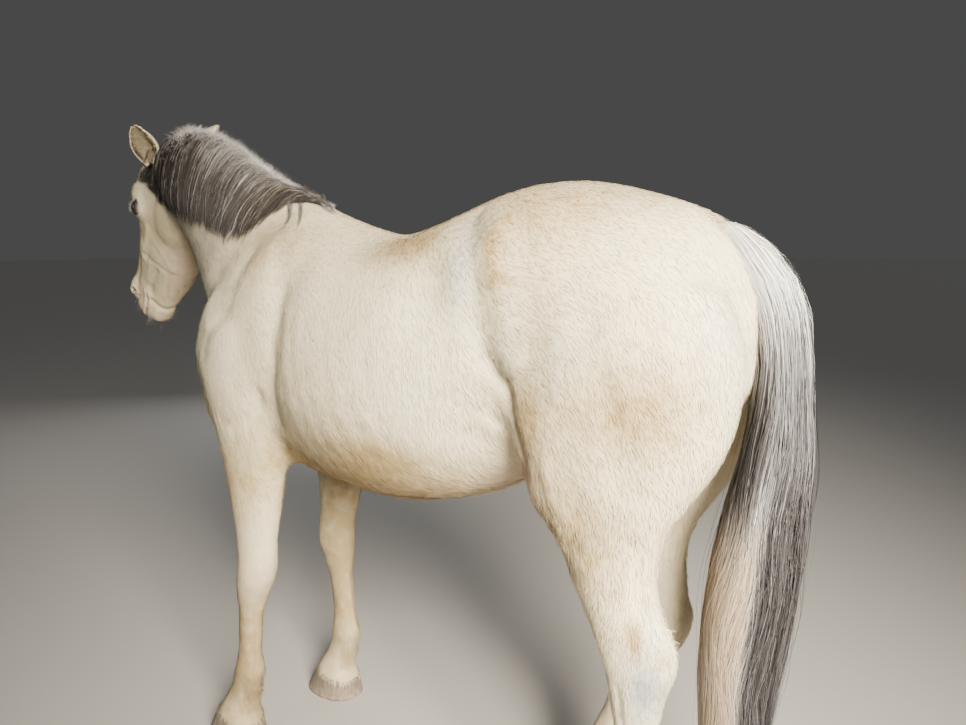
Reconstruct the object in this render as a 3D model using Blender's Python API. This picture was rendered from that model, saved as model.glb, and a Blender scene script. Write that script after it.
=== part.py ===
"""A stocky grey riding pony, life size, standing square with its head held forward.

The animal faces -Y, its left side is +X and the floor is at z = 0. The flesh is modelled
whole, as lofts of cross-sections that are fused and smoothed, and is then parted into
head, neck, trunk and legs with thin plane cuts. Hoofs are parted at the coronet. Ears, eyes,
mane, forelock and tail are pieces of their own that seat on the flesh with a small gap.
"""

import math
from dataclasses import dataclass

import bmesh
import bpy
import numpy as np
from mathutils import Matrix, Vector
from mathutils.bvhtree import BVHTree

# Driving dimensions, in metres.
WITHERS_HEIGHT = 1.41
ELBOW_HEIGHT = 0.85
HOCK_HEIGHT = 0.59
LEG_SPREAD_FORE = 0.148
LEG_SPREAD_HIND = 0.148
EYE_RADIUS = 0.0215
GAP = 0.0006
SEAT = 0.0004
CLEAR = 0.0012
RING = 32
VOXEL = 0.0075
FLESH_TRIANGLES = 5000

# The head is placed at the poll, and then turned, tilted and nodded.
POLL = Vector((-0.061, -1.090, 1.580))
HEAD_NOD = math.radians(-38.5)
HEAD_TILT = math.radians(7.7)
HEAD_SCALE = 0.99

COAT_COLOUR = (0.80, 0.77, 0.70, 1.0)
MANE_COLOUR = (0.26, 0.25, 0.26, 1.0)
TAIL_COLOUR = (0.50, 0.47, 0.44, 1.0)
HOOF_COLOUR = (0.12, 0.10, 0.09, 1.0)
EYE_COLOUR = (0.02, 0.012, 0.01, 1.0)


@dataclass
class Section:
    """One cross-section, from its crest (upper or front edge) to its keel (lower or back edge).

    half is the half-width, waist says how far from keel to crest the widest place lies, and
    crown and base shape the two halves: 1 is an ellipse, less is squarer, more is sharper.
    """

    crest: tuple
    keel: tuple
    half: float
    waist: float = 0.5
    crown: float = 1.0
    base: float = 1.0

    def row(self):
        return [*self.crest, *self.keel, self.half, self.waist, self.crown, self.base]


def clear_scene():
    for obj in list(bpy.data.objects):
        bpy.data.objects.remove(obj, do_unlink=True)


def material(name, colour, roughness):
    made = bpy.data.materials.new(name)
    made.use_nodes = True
    shader = made.node_tree.nodes["Principled BSDF"]
    shader.inputs["Base Color"].default_value = colour
    shader.inputs["Roughness"].default_value = roughness
    shader.inputs["Metallic"].default_value = 0.0
    return made


def head_frame():
    """The head's axes as columns, down the face, out of the forehead and to the left."""
    base = Matrix(((0, 0, 1), (0, -1, 0), (-1, 0, 0)))
    return Matrix.Rotation(HEAD_NOD, 3, "X") @ Matrix.Rotation(HEAD_TILT, 3, "Y") @ base


HEAD = head_frame()


def on_head(along, out, left=0.0):
    """A place given by its distance down the face, out of the forehead and to the left."""
    return POLL + HEAD @ (Vector((along, out, left)) * HEAD_SCALE)


def smooth_rows(rows, steps):
    """The rows with steps places to each interval, on a cubic through all of them."""
    rows = np.array(rows, float)
    middles = (rows[:, 0:3] + rows[:, 3:6]) / 2
    gaps = np.linalg.norm(np.diff(middles, axis=0), axis=1) + 1e-4
    knots = np.concatenate([[0], np.cumsum(gaps)])
    slopes = np.gradient(rows, knots, axis=0)
    made = []
    for i, gap in enumerate(gaps):
        for t in np.linspace(0, 1, steps, endpoint=False):
            a, b = 2 * t**3 - 3 * t**2 + 1, t**3 - 2 * t**2 + t
            c, d = -2 * t**3 + 3 * t**2, t**3 - t**2
            made.append(
                a * rows[i] + b * gap * slopes[i] + c * rows[i + 1] + d * gap * slopes[i + 1]
            )
    made.append(rows[-1])
    return made


def ring_of(row, side, count=RING):
    """The points of one cross-section, starting at its widest place on the side's side."""
    crest, keel = np.array(row[0:3]), np.array(row[3:6])
    half, waist, crown, base = row[6:10]
    up = crest - keel
    height = np.linalg.norm(up)
    up = up / height
    across = side - up * (side @ up)
    across = across / np.linalg.norm(across)
    centre = keel + up * height * waist
    points = []
    for k in range(count):
        angle = 2 * math.pi * k / count
        c, s = math.cos(angle), math.sin(angle)
        rise = s * height * ((1 - waist) if s > 0 else waist)
        width = half * math.copysign(abs(c) ** (crown if s > 0 else base), c)
        points.append(centre + up * rise + across * width)
    return points


def skin_rings(rings):
    """A closed mesh through rings of points, with a fan over each end."""
    shape = bmesh.new()
    rows = [[shape.verts.new(point) for point in ring] for ring in rings]
    for low, high in zip(rows, rows[1:]):
        for k in range(len(low)):
            j = (k + 1) % len(low)
            shape.faces.new((low[k], low[j], high[j], high[k]))
    for ring in (rows[0], rows[-1]):
        tip = shape.verts.new(sum((v.co for v in ring), Vector()) / len(ring))
        for k in range(len(ring)):
            shape.faces.new((ring[k], ring[(k + 1) % len(ring)], tip))
    bmesh.ops.recalc_face_normals(shape, faces=shape.faces)
    return shape


def add_object(name, shape):
    mesh = bpy.data.meshes.new(name)
    shape.to_mesh(mesh)
    shape.free()
    made = bpy.data.objects.new(name, mesh)
    bpy.context.scene.collection.objects.link(made)
    return made


def loft(name, sections, side=(1, 0, 0), steps=4, count=RING):
    rows = smooth_rows([section.row() for section in sections], steps)
    rings = [ring_of(row, np.array(side, float), count) for row in rows]
    return add_object(name, skin_rings(rings))


def ball(name, centre, radii, turn=None):
    shape = bmesh.new()
    scale = Matrix.Diagonal((*radii, 1))
    place = Matrix.Translation(centre) @ (turn.to_4x4() if turn else Matrix()) @ scale
    bmesh.ops.create_uvsphere(shape, u_segments=14, v_segments=8, radius=1, matrix=place)
    return add_object(name, shape)


# ---- flesh -------------------------------------------------------------------------------


def trunk():
    """Breast to buttocks. Each line is y, top, bottom, half-width, waist, crown, base."""
    table = (
        (-0.728, 1.12, 0.87, 0.090, 0.5, 1.0, 1.0),
        (-0.700, 1.19, 0.825, 0.150, 0.5, 0.9, 0.9),
        (-0.645, 1.27, 0.79, 0.190, 0.5, 0.9, 0.85),
        (-0.560, 1.32, 0.760, 0.208, 0.5, 0.95, 0.85),
        (-0.480, 1.375, 0.750, 0.218, 0.48, 1.05, 0.9),
        (-0.400, WITHERS_HEIGHT, 0.742, 0.228, 0.46, 1.15, 0.9),
        (-0.320, 1.386, 0.735, 0.243, 0.46, 1.15, 0.9),
        (-0.220, 1.350, 0.728, 0.268, 0.46, 1.0, 0.9),
        (-0.120, 1.331, 0.725, 0.286, 0.46, 0.9, 0.88),
        (-0.020, 1.341, 0.730, 0.294, 0.47, 0.86, 0.88),
        (0.080, 1.375, 0.748, 0.290, 0.49, 0.86, 0.88),
        (0.160, 1.400, 0.775, 0.276, 0.52, 0.85, 0.9),
        (0.240, 1.420, 0.815, 0.262, 0.55, 0.82, 0.95),
        (0.340, 1.427, 0.870, 0.262, 0.55, 0.84, 1.0),
        (0.440, 1.417, 0.920, 0.258, 0.5, 0.9, 1.0),
        (0.540, 1.388, 0.960, 0.232, 0.5, 0.95, 1.0),
        (0.620, 1.345, 0.980, 0.190, 0.5, 1.0, 1.0),
        (0.680, 1.285, 1.010, 0.135, 0.5, 1.0, 1.0),
        (0.715, 1.215, 1.060, 0.070, 0.5, 1.0, 1.0),
    )
    sections = [
        Section((0, y, top), (0, y, bottom), half, waist, crown, base)
        for y, top, bottom, half, waist, crown, base in table
    ]
    return loft("trunk_form", sections)


def neck_sections():
    table = (
        ((0.000, -0.290, 1.350), (0.000, -0.660, 0.930), 0.165, 0.42, 1.2, 0.9),
        ((0.000, -0.390, 1.412), (0.000, -0.710, 1.020), 0.168, 0.42, 1.3, 0.9),
        ((0.000, -0.490, 1.450), (0.000, -0.740, 1.090), 0.148, 0.42, 1.35, 0.9),
        ((-0.003, -0.600, 1.502), (-0.003, -0.785, 1.155), 0.124, 0.42, 1.35, 0.95),
        ((-0.010, -0.710, 1.565), (-0.010, -0.838, 1.220), 0.106, 0.42, 1.3, 1.0),
        ((-0.020, -0.825, 1.610), (-0.020, -0.892, 1.282), 0.094, 0.42, 1.25, 1.0),
        ((-0.035, -0.945, 1.622), (-0.035, -0.955, 1.335), 0.087, 0.45, 1.2, 1.0),
        ((-0.050, -1.035, 1.612), (-0.050, -1.010, 1.395), 0.080, 0.5, 1.1, 1.0),
        ((-0.058, -1.090, 1.590), (-0.055, -1.055, 1.430), 0.068, 0.5, 1.1, 1.0),
    )
    return [Section(*line) for line in table]


def skull():
    """Poll to lips, in the head's frame. Each line is distance, forehead, jaw, half-width..."""
    table = (
        (-0.040, -0.020, -0.085, 0.045, 0.55, 1.0, 1.0),
        (-0.015, 0.006, -0.125, 0.062, 0.55, 1.0, 0.9),
        (0.040, 0.020, -0.180, 0.075, 0.58, 0.75, 0.8),
        (0.100, 0.026, -0.225, 0.084, 0.68, 0.62, 0.7),
        (0.160, 0.022, -0.246, 0.087, 0.74, 0.56, 0.7),
        (0.210, 0.014, -0.250, 0.082, 0.72, 0.60, 0.72),
        (0.260, 0.006, -0.250, 0.076, 0.64, 0.68, 0.70),
        (0.320, 0.000, -0.240, 0.068, 0.60, 0.70, 0.62),
        (0.380, -0.004, -0.223, 0.059, 0.56, 0.75, 0.60),
        (0.430, -0.006, -0.206, 0.053, 0.54, 0.78, 0.64),
        (0.475, -0.004, -0.195, 0.051, 0.54, 0.75, 0.70),
        (0.510, -0.010, -0.188, 0.049, 0.52, 0.78, 0.76),
        (0.540, -0.026, -0.176, 0.042, 0.50, 0.85, 0.85),
        (0.562, -0.052, -0.150, 0.028, 0.50, 0.90, 0.90),
    )
    sections = [
        Section(on_head(a, top), on_head(a, jaw), half * HEAD_SCALE, waist, crown, base)
        for a, top, jaw, half, waist, crown, base in table
    ]
    return loft("skull_form", sections, side=HEAD.col[2])


# How far each leg is set off from standing square, as height, forward (-) or back (+), rise.
SET_FORE_LEFT = (
    (1.0, 0.0, 0.0),
    (0.85, 0.0, 0.0),
    (0.51, 0.002, 0.0),
    (0.40, -0.014, 0.0),
    (0.20, -0.034, 0.0),
    (0.08, -0.030, 0.0),
    (-0.01, -0.022, 0.0),
)
SET_FORE_RIGHT = (
    (1.0, 0.0, 0.0),
    (0.70, 0.0, 0.0),
    (0.60, -0.006, 0.0),
    (0.51, -0.024, 0.0),
    (0.465, -0.022, 0.0),
    (0.425, -0.011, 0.0),
    (0.36, 0.004, 0.0),
    (0.20, 0.013, 0.0),
    (0.08, 0.024, 0.0),
    (-0.01, 0.030, 0.0),
)
SET_HIND_LEFT = ((1.0, 0.0, 0.0), (-0.01, 0.0, 0.0))
SET_HIND_RIGHT = (
    (1.14, 0.0, 0.0),
    (0.95, -0.010, -0.010),
    (0.82, -0.030, -0.030),
    (0.76, -0.050, -0.040),
    (0.70, -0.060, -0.050),
    (0.64, -0.072, -0.058),
    (0.59, -0.082, -0.066),
    (0.505, -0.095, -0.060),
    (0.37, -0.145, -0.045),
    (0.235, -0.190, -0.035),
    (0.195, -0.196, -0.030),
    (0.15, -0.200, -0.020),
    (0.088, -0.190, 0.0),
    (-0.01, -0.185, 0.0),
)


FORELEG = (  # z, front, back, half-width, crown, base, at x = 0
    (1.120, -0.640, -0.380, 0.075, 1.0, 1.0),
    (1.020, -0.668, -0.340, 0.084, 1.0, 1.0),
    (0.930, -0.655, -0.330, 0.082, 1.0, 1.0),
    (0.860, -0.632, -0.352, 0.074, 1.0, 1.0),
    (0.790, -0.606, -0.384, 0.066, 1.0, 0.95),
    (0.710, -0.586, -0.404, 0.057, 1.0, 0.95),
    (0.630, -0.568, -0.422, 0.050, 1.0, 0.95),
    (0.560, -0.556, -0.436, 0.045, 0.9, 0.95),
    (0.510, -0.551, -0.438, 0.047, 0.8, 1.0),
    (0.465, -0.550, -0.442, 0.049, 0.75, 1.0),
    (0.425, -0.549, -0.456, 0.044, 0.8, 1.0),
    (0.385, -0.546, -0.468, 0.035, 0.9, 1.0),
    (0.310, -0.546, -0.470, 0.029, 1.0, 1.1),
    (0.245, -0.546, -0.466, 0.030, 1.0, 1.1),
    (0.200, -0.552, -0.458, 0.037, 0.9, 1.0),
    (0.160, -0.566, -0.478, 0.034, 0.9, 1.0),
    (0.120, -0.588, -0.496, 0.038, 0.85, 0.95),
    (0.088, -0.612, -0.500, 0.048, 0.85, 0.85),
    (0.078, -0.618, -0.499, 0.051, 0.85, 0.8),
    (0.040, -0.642, -0.494, 0.058, 0.85, 0.75),
    (-0.010, -0.672, -0.488, 0.066, 0.85, 0.7),
)

HINDLEG = (
    (1.240, 0.330, 0.690, 0.100, 1.0, 1.0),
    (1.140, 0.270, 0.730, 0.118, 1.0, 0.9),
    (1.040, 0.248, 0.728, 0.118, 1.0, 0.9),
    (0.950, 0.262, 0.702, 0.108, 1.0, 0.9),
    (0.880, 0.306, 0.660, 0.097, 1.0, 0.95),
    (0.820, 0.348, 0.618, 0.084, 1.0, 1.0),
    (0.760, 0.392, 0.596, 0.069, 1.0, 1.0),
    (0.700, 0.418, 0.592, 0.058, 1.0, 1.15),
    (0.640, 0.447, 0.608, 0.050, 0.95, 1.25),
    (HOCK_HEIGHT, 0.471, 0.634, 0.047, 0.85, 1.2),
    (0.550, 0.488, 0.632, 0.047, 0.8, 1.05),
    (0.505, 0.500, 0.616, 0.042, 0.8, 1.0),
    (0.450, 0.508, 0.604, 0.034, 0.9, 1.0),
    (0.370, 0.512, 0.594, 0.029, 1.0, 1.1),
    (0.290, 0.512, 0.590, 0.028, 1.0, 1.1),
    (0.235, 0.506, 0.592, 0.031, 1.0, 1.05),
    (0.195, 0.494, 0.592, 0.037, 0.9, 1.0),
    (0.150, 0.476, 0.566, 0.034, 0.9, 1.0),
    (0.112, 0.454, 0.556, 0.040, 0.85, 0.9),
    (0.088, 0.440, 0.556, 0.047, 0.85, 0.85),
    (0.078, 0.434, 0.556, 0.050, 0.85, 0.8),
    (0.040, 0.412, 0.560, 0.056, 0.85, 0.75),
    (-0.010, 0.384, 0.566, 0.062, 0.85, 0.7),
)


def leg(name, table, spread, splay, setting):
    """A limb from inside the trunk down to the sole, set forward or back by its setting."""
    heights, forward, rise = np.array(setting)[::-1].T
    sections = []
    for z, front, back, half, crown, base in table:
        x = spread + splay * max(0.0, 1 - z / ELBOW_HEIGHT)
        shift = np.interp(z, heights, forward)
        level = z + np.interp(z, heights, rise)
        crest, keel = (x, front + shift, level), (x, back + shift, level)
        sections.append(Section(crest, keel, half, 0.5, crown, base))
    return loft(name, sections)


def head_ball(name, along, out, left, radii):
    """An ellipsoid on the head, with its radii along the head's axes."""
    centre = on_head(along, out, left)
    return ball(name, centre, Vector(radii) * HEAD_SCALE, HEAD)


def head_forms():
    """Orbits, cheeks, facial crests, nostrils and chin, a pair at a time."""
    made = [head_ball("chin", 0.505, -0.160, 0, (0.030, 0.026, 0.032))]
    for side in (-1, 1):
        made += [
            head_ball("orbit", 0.168, -0.034, side * 0.068, (0.048, 0.042, 0.036)),
            head_ball("brow", 0.142, -0.004, side * 0.062, (0.048, 0.028, 0.034)),
            head_ball("temple", 0.085, 0.000, side * 0.050, (0.060, 0.030, 0.038)),
            head_ball("cheek", 0.120, -0.150, side * 0.050, (0.105, 0.092, 0.040)),
            head_ball("facial_crest", 0.275, -0.075, side * 0.050, (0.080, 0.030, 0.030)),
            head_ball("nostril", 0.490, -0.050, side * 0.032, (0.042, 0.036, 0.026)),
            head_ball("ear_base", 0.012, -0.008, side * 0.052, (0.036, 0.034, 0.030)),
        ]
    return made


def body_forms():
    """Breast, shoulder, upper arm and thigh muscles, a pair at a time."""
    made = []
    for side in (-1, 1):
        made += [
            ball("breast", Vector((side * 0.070, -0.640, 0.925)), (0.105, 0.100, 0.145)),
            ball("inner_thigh", Vector((side * 0.088, 0.485, 0.945)), (0.078, 0.14, 0.14)),
            ball("shoulder", Vector((side * 0.135, -0.585, 1.06)), (0.066, 0.11, 0.17)),
            ball("upper_arm", Vector((side * 0.155, -0.460, 0.99)), (0.076, 0.15, 0.15)),
            ball("thigh", Vector((side * 0.135, 0.480, 1.13)), (0.135, 0.22, 0.21)),
        ]
    return made


def fuse(objects, voxel):
    """All the forms as one closed mesh."""
    bpy.ops.object.select_all(action="DESELECT")
    for obj in objects:
        obj.select_set(True)
    bpy.context.view_layer.objects.active = objects[0]
    bpy.ops.object.join()
    body = bpy.context.view_layer.objects.active
    remesh = body.modifiers.new("fuse", "REMESH")
    remesh.mode = "VOXEL"
    remesh.voxel_size = voxel
    bpy.ops.object.modifier_apply(modifier=remesh.name)
    return body


def points_of(obj):
    flat = np.empty(len(obj.data.vertices) * 3)
    obj.data.vertices.foreach_get("co", flat)
    return flat.reshape(-1, 3)


def normals_of(obj):
    flat = np.empty(len(obj.data.vertices) * 3, np.float32)
    obj.data.vertex_normals.foreach_get("vector", flat)
    return flat.reshape(-1, 3).astype(float)


def put_points(obj, points):
    obj.data.vertices.foreach_set("co", points.astype(np.float32).ravel())
    obj.data.update()


def relax(obj, rounds, share):
    """Smooths without shrinking. share is each vertex's part of the full move."""
    points = points_of(obj)
    ends = np.empty(len(obj.data.edges) * 2, np.int32)
    obj.data.edges.foreach_get("vertices", ends)
    a, b = ends.reshape(-1, 2).T
    count = len(points)
    degree = np.bincount(a, minlength=count) + np.bincount(b, minlength=count)
    for turn in range(2 * rounds):
        total = np.empty_like(points)
        for axis in range(3):
            total[:, axis] = np.bincount(a, points[b, axis], count) + np.bincount(
                b, points[a, axis], count
            )
        move = total / degree[:, None] - points
        points += move * share[:, None] * (0.55 if turn % 2 == 0 else -0.5)
    put_points(obj, points)


def both_sides(points):
    """The points with the right half of the body folded onto the left."""
    return np.column_stack([np.abs(points[:, 0]), points[:, 1:]])


def swell(obj, centre, radii, height):
    """Raises a soft bump on both sides of the body, or sinks a hollow if height is below 0."""
    points = points_of(obj)
    away = (both_sides(points) - centre) / radii
    lift = height * np.exp(-(away**2).sum(axis=1))
    put_points(obj, points + normals_of(obj) * lift[:, None])


def furrow(obj, path, width, depth):
    """Presses a soft groove along a path, on both sides of the body."""
    points = points_of(obj)
    folded = both_sides(points)
    path = np.array(path, float)
    nearest = np.full(len(points), np.inf)
    for start, end in zip(path, path[1:]):
        leg_vector = end - start
        share = ((folded - start) @ leg_vector) / (leg_vector @ leg_vector)
        foot = start + np.clip(share, 0, 1)[:, None] * leg_vector
        nearest = np.minimum(nearest, np.linalg.norm(folded - foot, axis=1))
    press = depth * np.exp(-((nearest / width) ** 2))
    put_points(obj, points - normals_of(obj) * press[:, None])


def muscles(body):
    """The larger forms that show under the coat of the trunk and the quarters."""
    swell(body, (0.215, 0.235, 1.265), (0.05, 0.06, 0.05), 0.018)
    swell(body, (0.17, -0.670, 1.03), (0.05, 0.06, 0.07), 0.006)
    swell(body, (0.19, 0.375, 0.86), (0.05, 0.06, 0.06), 0.010)
    swell(body, (0.24, 0.150, 1.20), (0.09, 0.07, 0.08), -0.014)
    swell(body, (0.20, 0.290, 0.93), (0.07, 0.05, 0.07), -0.012)
    swell(body, (0.10, -0.360, 1.37), (0.05, 0.09, 0.05), -0.008)
    furrow(body, ((0.10, -0.47, 1.40), (0.14, -0.60, 1.25), (0.15, -0.70, 1.12)), 0.035, 0.010)
    furrow(body, ((0.17, -0.30, 1.26), (0.23, -0.31, 1.10), (0.21, -0.34, 0.92)), 0.055, 0.009)
    furrow(body, ((0.22, 0.27, 1.15), (0.22, 0.29, 1.02), (0.20, 0.31, 0.90)), 0.030, 0.008)
    furrow(body, ((0.17, 0.66, 1.12), (0.18, 0.62, 0.98), (0.16, 0.58, 0.86)), 0.030, 0.006)


def flesh():
    """The whole body as one smooth closed mesh."""
    forms = [
        trunk(),
        loft("neck_form", neck_sections()),
        skull(),
        leg("foreleg_left", FORELEG, LEG_SPREAD_FORE, 0.014, SET_FORE_LEFT),
        leg("foreleg_right", FORELEG, -LEG_SPREAD_FORE, 0.0, SET_FORE_RIGHT),
        leg("hindleg_left", HINDLEG, LEG_SPREAD_HIND, 0.0, SET_HIND_LEFT),
        leg("hindleg_right", HINDLEG, -LEG_SPREAD_HIND, 0.03, SET_HIND_RIGHT),
        *head_forms(),
        *body_forms(),
    ]
    body = fuse(forms, VOXEL)
    body.name = "flesh"
    points = points_of(body)
    soft = np.clip((points[:, 2] - 0.66) / 0.15, 0, 1)
    face = np.clip((-0.98 - points[:, 1]) / 0.10, 0, 1)
    share = 0.10 + 0.90 * soft * (1 - 0.82 * face)
    relax(body, 60, share)
    muscles(body)
    relax(body, 8, share)
    return body


def thin_out(obj, triangles):
    """Fewer, larger triangles, with the most left where the form turns quickest."""
    count = sum(len(face.vertices) - 2 for face in obj.data.polygons)
    decimate = obj.modifiers.new("thin_out", "DECIMATE")
    decimate.ratio = triangles / count
    decimate.use_collapse_triangulate = True
    apply_all(obj)


def apply_all(obj):
    bpy.context.view_layer.objects.active = obj
    for modifier in list(obj.modifiers):
        bpy.ops.object.modifier_apply(modifier=modifier.name)


def helper(obj):
    """Marks a cutter, so that it isn't taken for a piece of the animal."""
    obj.hide_render = True
    obj.display_type = "WIRE"
    return obj


def plate(name, centre, normal, size, thickness=GAP):
    """A thin square plate through a place, across its normal."""
    shape = bmesh.new()
    turn = Vector(normal).to_track_quat("Z", "Y").to_matrix().to_4x4()
    scale = Matrix.Diagonal((size[0], size[1], thickness, 1))
    matrix = Matrix.Translation(centre) @ turn @ scale
    bmesh.ops.create_cube(shape, size=1, matrix=matrix)
    return helper(add_object(name, shape))


def box(name, low, high):
    shape = bmesh.new()
    low, high = Vector(low), Vector(high)
    matrix = Matrix.Translation((low + high) / 2) @ Matrix.Diagonal((*(high - low), 1))
    bmesh.ops.create_cube(shape, size=1, matrix=matrix)
    return helper(add_object(name, shape))


def subtract(obj, cutters):
    for cutter in cutters:
        cut = obj.modifiers.new(cutter.name, "BOOLEAN")
        cut.operation = "DIFFERENCE"
        cut.solver = "EXACT"
        cut.object = cutter
    apply_all(obj)
    for cutter in cutters:
        bpy.data.objects.remove(cutter, do_unlink=True)


def inflated(obj, name, by):
    """A copy of the object grown outward, to seat another piece against it."""
    copy = obj.copy()
    copy.data = obj.data.copy()
    copy.name = name
    bpy.context.scene.collection.objects.link(copy)
    put_points(copy, points_of(copy) + normals_of(copy) * by)
    return helper(copy)


def largest_island(obj):
    """Keeps only the biggest connected piece."""
    islands = islands_of(obj.data)
    keep = max(islands, key=len)
    drop = set(range(len(obj.data.vertices))) - set(keep)
    shape = bmesh.new()
    shape.from_mesh(obj.data)
    shape.verts.ensure_lookup_table()
    bmesh.ops.delete(shape, geom=[shape.verts[i] for i in drop], context="VERTS")
    shape.to_mesh(obj.data)
    shape.free()


def islands_of(mesh):
    """The vertex numbers of each connected piece."""
    parent = list(range(len(mesh.vertices)))

    def root(i):
        while parent[i] != i:
            parent[i] = parent[parent[i]]
            i = parent[i]
        return i

    for edge in mesh.edges:
        a, b = map(root, edge.vertices)
        parent[a] = b
    groups = {}
    for i in range(len(parent)):
        groups.setdefault(root(i), []).append(i)
    return list(groups.values())


# ---- pieces that seat on the flesh ------------------------------------------------------


def ear_rings(base, tip, opening, count=7):
    """Rings of a cupped ear, each an outer arc and, back inside it, an inner arc."""
    base, tip = np.array(base, float), np.array(tip, float)
    axis = tip - base
    unit = axis / np.linalg.norm(axis)
    facing = np.array(opening, float)
    facing = facing - unit * (unit @ facing)
    facing = facing / np.linalg.norm(facing)
    across = np.cross(unit, facing)
    stations = (
        (-0.10, 0.020, 0.018, 0.0040),
        (0.05, 0.025, 0.021, 0.0040),
        (0.20, 0.033, 0.025, 0.0040),
        (0.38, 0.039, 0.026, 0.0040),
        (0.56, 0.037, 0.023, 0.0036),
        (0.74, 0.028, 0.017, 0.0032),
        (0.88, 0.016, 0.010, 0.0028),
        (0.97, 0.006, 0.005, 0.0020),
    )
    rings = []
    for along, wide, deep, wall in stations:
        centre = base + axis * along + facing * 0.012 * along**2
        arc = np.radians(np.linspace(-115, 115, count))
        outer = [centre + across * wide * math.sin(t) - facing * deep * math.cos(t) for t in arc]
        wide, deep = wide - wall, deep - wall
        inner = [centre + across * wide * math.sin(t) - facing * deep * math.cos(t) for t in arc]
        rings.append(outer + inner[::-1])
    return rings


def ear(name, side, base, tip, opening):
    flip = lambda place: on_head(place[0], place[1], side * place[2])
    return add_object(name, skin_rings(ear_rings(flip(base), flip(tip), opening)))


MANE = (  # y, x of the crest, height of the lower edge, angle right of upright, thickness
    (-0.325, 0.000, 1.366, 12, 0.006),
    (-0.375, 0.000, 1.384, 18, 0.014),
    (-0.430, 0.000, 1.380, 22, 0.020),
    (-0.485, 0.000, 1.352, 24, 0.022),
    (-0.545, 0.000, 1.314, 24, 0.023),
    (-0.610, -0.003, 1.326, 24, 0.023),
    (-0.690, -0.008, 1.350, 25, 0.022),
    (-0.780, -0.015, 1.378, 26, 0.020),
    (-0.860, -0.024, 1.418, 27, 0.018),
    (-0.930, -0.033, 1.470, 28, 0.017),
    (-0.990, -0.043, 1.508, 30, 0.016),
    (-1.035, -0.049, 1.540, 30, 0.016),
    (-1.066, -0.053, 1.566, 22, 0.012),
)


def mane(body, count=11):
    """Hair that stands on the crest and falls over the left side of the neck."""
    tree = BVHTree.FromPolygons(
        [v.co for v in body.data.vertices], [p.vertices for p in body.data.polygons]
    )
    rings = []
    for y, x, low, right, thick in MANE:
        outer, inner = [], []
        for k, angle in enumerate(np.radians(np.linspace(-right, 90, count))):
            out = Vector((math.sin(angle), 0, math.cos(angle)))
            hit = tree.ray_cast(Vector((x, y, low)) + out * 0.5, -out)[0]
            share = k / (count - 1)
            depth = thick * (0.55 + 0.45 * math.sin(math.pi * min(share * 3, 0.5)))
            depth *= 1 - 0.60 * share**2
            outer.append(hit + out * depth)
            inner.append(hit - out * 0.010)
        rings.append(outer + inner[::-1])
    return add_object("mane", skin_rings(rings))


def forelock():
    """A short tuft from between the ears, down the forehead."""
    table = (
        (-0.040, 0.000, -0.050, 0.022),
        (-0.012, 0.034, -0.040, 0.030),
        (0.030, 0.044, -0.030, 0.032),
        (0.080, 0.044, -0.010, 0.028),
        (0.130, 0.038, 0.002, 0.020),
        (0.165, 0.030, 0.012, 0.010),
    )
    sections = [
        Section(on_head(a, top, 0.004), on_head(a, low, 0.004), half, 0.5, 0.9, 0.9)
        for a, top, low, half in table
    ]
    return loft("forelock", sections, side=HEAD.col[2], steps=1, count=12)


TAIL = (  # z, x, front y, back y, half-width
    (1.352, 0.000, 0.600, 0.640, 0.020),
    (1.335, 0.000, 0.590, 0.674, 0.034),
    (1.300, 0.000, 0.600, 0.712, 0.042),
    (1.250, 0.000, 0.640, 0.748, 0.045),
    (1.190, 0.000, 0.680, 0.772, 0.046),
    (1.110, 0.000, 0.700, 0.788, 0.050),
    (1.020, 0.002, 0.700, 0.798, 0.057),
    (0.930, 0.004, 0.686, 0.802, 0.064),
    (0.840, 0.004, 0.662, 0.798, 0.068),
    (0.740, 0.002, 0.642, 0.790, 0.070),
    (0.620, 0.000, 0.628, 0.776, 0.069),
    (0.500, 0.000, 0.620, 0.764, 0.066),
    (0.380, 0.000, 0.622, 0.752, 0.058),
    (0.280, 0.000, 0.636, 0.738, 0.044),
    (0.210, 0.000, 0.656, 0.722, 0.026),
    (0.180, 0.000, 0.674, 0.706, 0.010),
)


def tail():
    """Dock and hair, hanging behind the quarters and between the hocks."""
    sections = [
        Section((x, back, z), (x, front, z), half) for z, x, front, back, half in TAIL
    ]
    return loft("tail", sections, steps=1, count=16)


def eye(name, side):
    return ball(name, on_head(0.170, -0.038, side * 0.086), (EYE_RADIUS,) * 3)


# ---- parting ----------------------------------------------------------------------------

HOOF_TILT = Vector((0, 0.26, 1)).normalized()


def parting_plates():
    """The plates that part the flesh. Each is just wide enough for the piece it parts."""
    head_normal = HEAD @ Vector((0.838, 0.546, 0))
    return [
        plate("part_head", on_head(0.036, -0.129), head_normal, (0.40, 0.44)),
        plate("part_neck", (0, -0.585, 1.250), (0, -0.79, 0.61), (0.60, 0.68)),
        plate("part_foreleg_left", (0.15, -0.50, 0.722), (0, 0, 1), (0.20, 0.34)),
        plate("part_foreleg_right", (-0.15, -0.50, 0.722), (0, 0, 1), (0.20, 0.34)),
        plate("part_hindleg_left", (0.15, 0.49, 0.800), (0, 0, 1), (0.24, 0.50)),
        plate("part_hindleg_right", (-0.15, 0.45, 0.790), (0, 0, 1), (0.24, 0.50)),
        plate("part_hoof_fore_left", (0.16, -0.590, 0.068), HOOF_TILT, (0.20, 0.24)),
        plate("part_hoof_fore_right", (-0.15, -0.535, 0.068), HOOF_TILT, (0.20, 0.24)),
        plate("part_hoof_hind_left", (0.15, 0.490, 0.068), HOOF_TILT, (0.20, 0.24)),
        plate("part_hoof_hind_right", (-0.12, 0.300, 0.068), HOOF_TILT, (0.20, 0.24)),
    ]


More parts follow.
